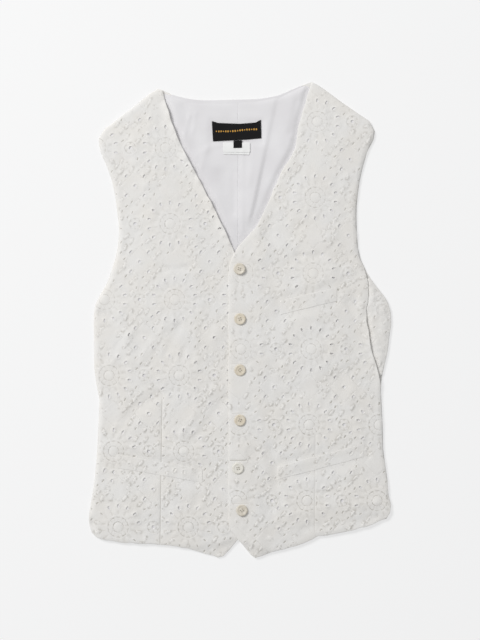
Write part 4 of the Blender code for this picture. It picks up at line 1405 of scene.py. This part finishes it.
def studio():
    """A plain pale floor, a soft key light from the picture's upper left, and the camera above."""
    bpy.ops.mesh.primitive_plane_add(size=FLOOR_SIZE, location=(0, 0, -FLOOR_GAP))
    floor = bpy.context.object
    floor.name = "floor"
    finish = plain("floor", (FLOOR_TONE,) * 3, 0.95)
    shader = finish.node_tree.nodes["Principled BSDF"]
    shader.inputs["Specular IOR Level"].default_value = 0.0
    shader.inputs["Emission Color"].default_value = (1, 1, 1, 1)
    shader.inputs["Emission Strength"].default_value = FLOOR_GLOW
    floor.data.materials.append(finish)
    light = bpy.data.lights.new("key", "AREA")
    light.size, light.energy = KEY_SIZE, KEY_POWER
    lamp = bpy.data.objects.new("key", light)
    lamp.location = KEY_PLACE
    lamp.rotation_euler = (-Vector(KEY_PLACE)).to_track_quat("-Z", "Y").to_euler()
    bpy.context.scene.collection.objects.link(lamp)
    world = bpy.data.worlds.new("studio")
    world.use_nodes = True
    world.node_tree.nodes["Background"].inputs["Color"].default_value = FILL_COLOUR
    world.node_tree.nodes["Background"].inputs["Strength"].default_value = FILL
    bpy.context.scene.world = world
    data = bpy.data.cameras.new("camera")
    data.sensor_fit, data.sensor_height, data.sensor_width = "VERTICAL", SENSOR, SENSOR
    data.lens = SENSOR * CAMERA_HEIGHT / FRAME_HEIGHT
    data.clip_end = 50
    camera = bpy.data.objects.new("camera", data)
    camera.location = (0, 0, CAMERA_HEIGHT)
    bpy.context.scene.collection.objects.link(camera)
    bpy.context.scene.camera = camera
    bpy.context.scene.view_settings.view_transform = "Standard"


def main():
    """Makes the pieces from the back upwards, then the floor, the light and the camera."""
    cloth = eyelet_cloth()
    lining = lining_cotton()
    tones = {tone: button_shell("button_" + tone, *colours) for tone, colours in BUTTON_COLOURS.items()}
    black = plain("label_black", LABEL_BLACK, 0.75, 0.5)
    white = plain("label_white", LABEL_WHITE, 0.75, 0.2)
    gold = plain("label_gold", LABEL_GOLD, 0.5)
    thread = plain("thread", THREAD, 0.7)
    _, right, left = outlines()
    hem = curve(HEM_BACK)
    right_welts = {"waist_welt_right": welt_outline(RIGHT_WELT)}
    left_welts = {"chest_welt": welt_outline(CHEST_WELT), "waist_welt_left": welt_outline(LEFT_WELT)}
    right_under = front_height(right, hem, RIGHT_FRONT_FOLDS, list(right_welts.values()), False)
    left_under = front_height(left, hem, LEFT_FRONT_FOLDS, list(left_welts.values()), True)
    right_under = curled(right_under, curve(NECK_RIGHT[1:8]), CURL)
    low_seam = [point for point in curve(SEAM_LEFT) if point[1] < SEAM_OPEN_Y]
    left_under = curled(left_under, low_seam, SEAM_CURL)
    right_foot = front_foot(right, right_under, RIGHT_CREASES)
    left_foot = front_foot(left, left_under, LEFT_CREASES)
    neck_area = loop(curve(NECK_RIGHT[:8]), curve(NECK_LEFT[8::-1]), curve(NECK_BACK[::-1]))
    top = lining_top(neck_area, ((right, right_foot, -1000), (left, left_foot, 12)))
    whole = lining_outline()
    open_area = inset(whole, 2)
    back_pieces(cloth, lining, open_area)
    lining_pieces(lining, whole, neck_area, top)
    labels(top, (black, white, gold))
    low_side = [k for k, (x, y) in enumerate(left) if x > 150 and y < SEAM_OPEN_Y]
    left_thin = np.array([*left[low_side[-1] + 1:], *left[:low_side[0]]])
    front_pieces("front_right", right, right_under, right_foot, open_area, RIGHT_REPEAT_AT, RIGHT_FRONT_FOLDS,
                 RIGHT_CREASES, right_welts, cloth, [], (3, RIGHT_DART, sewn_edge(False), curve(SIDE_RIGHT)))
    slits = [curve(((x - SLIT_HALF, y + up), (x + SLIT_HALF, y + up + tilt)))
             for (x, y), (up, tilt, _) in zip(BUTTONS, BUTTONHOLES)]
    left_open = clipped(open_area, OPEN_FROM_X, 1)
    front_pieces("front_left", left, left_under, left_foot, left_open, LEFT_REPEAT_AT, LEFT_FRONT_FOLDS,
                 LEFT_CREASES, left_welts, cloth, slits, (4, LEFT_DART, sewn_edge(True), left_thin))
    buttons(tones, thread)
    studio()


main()
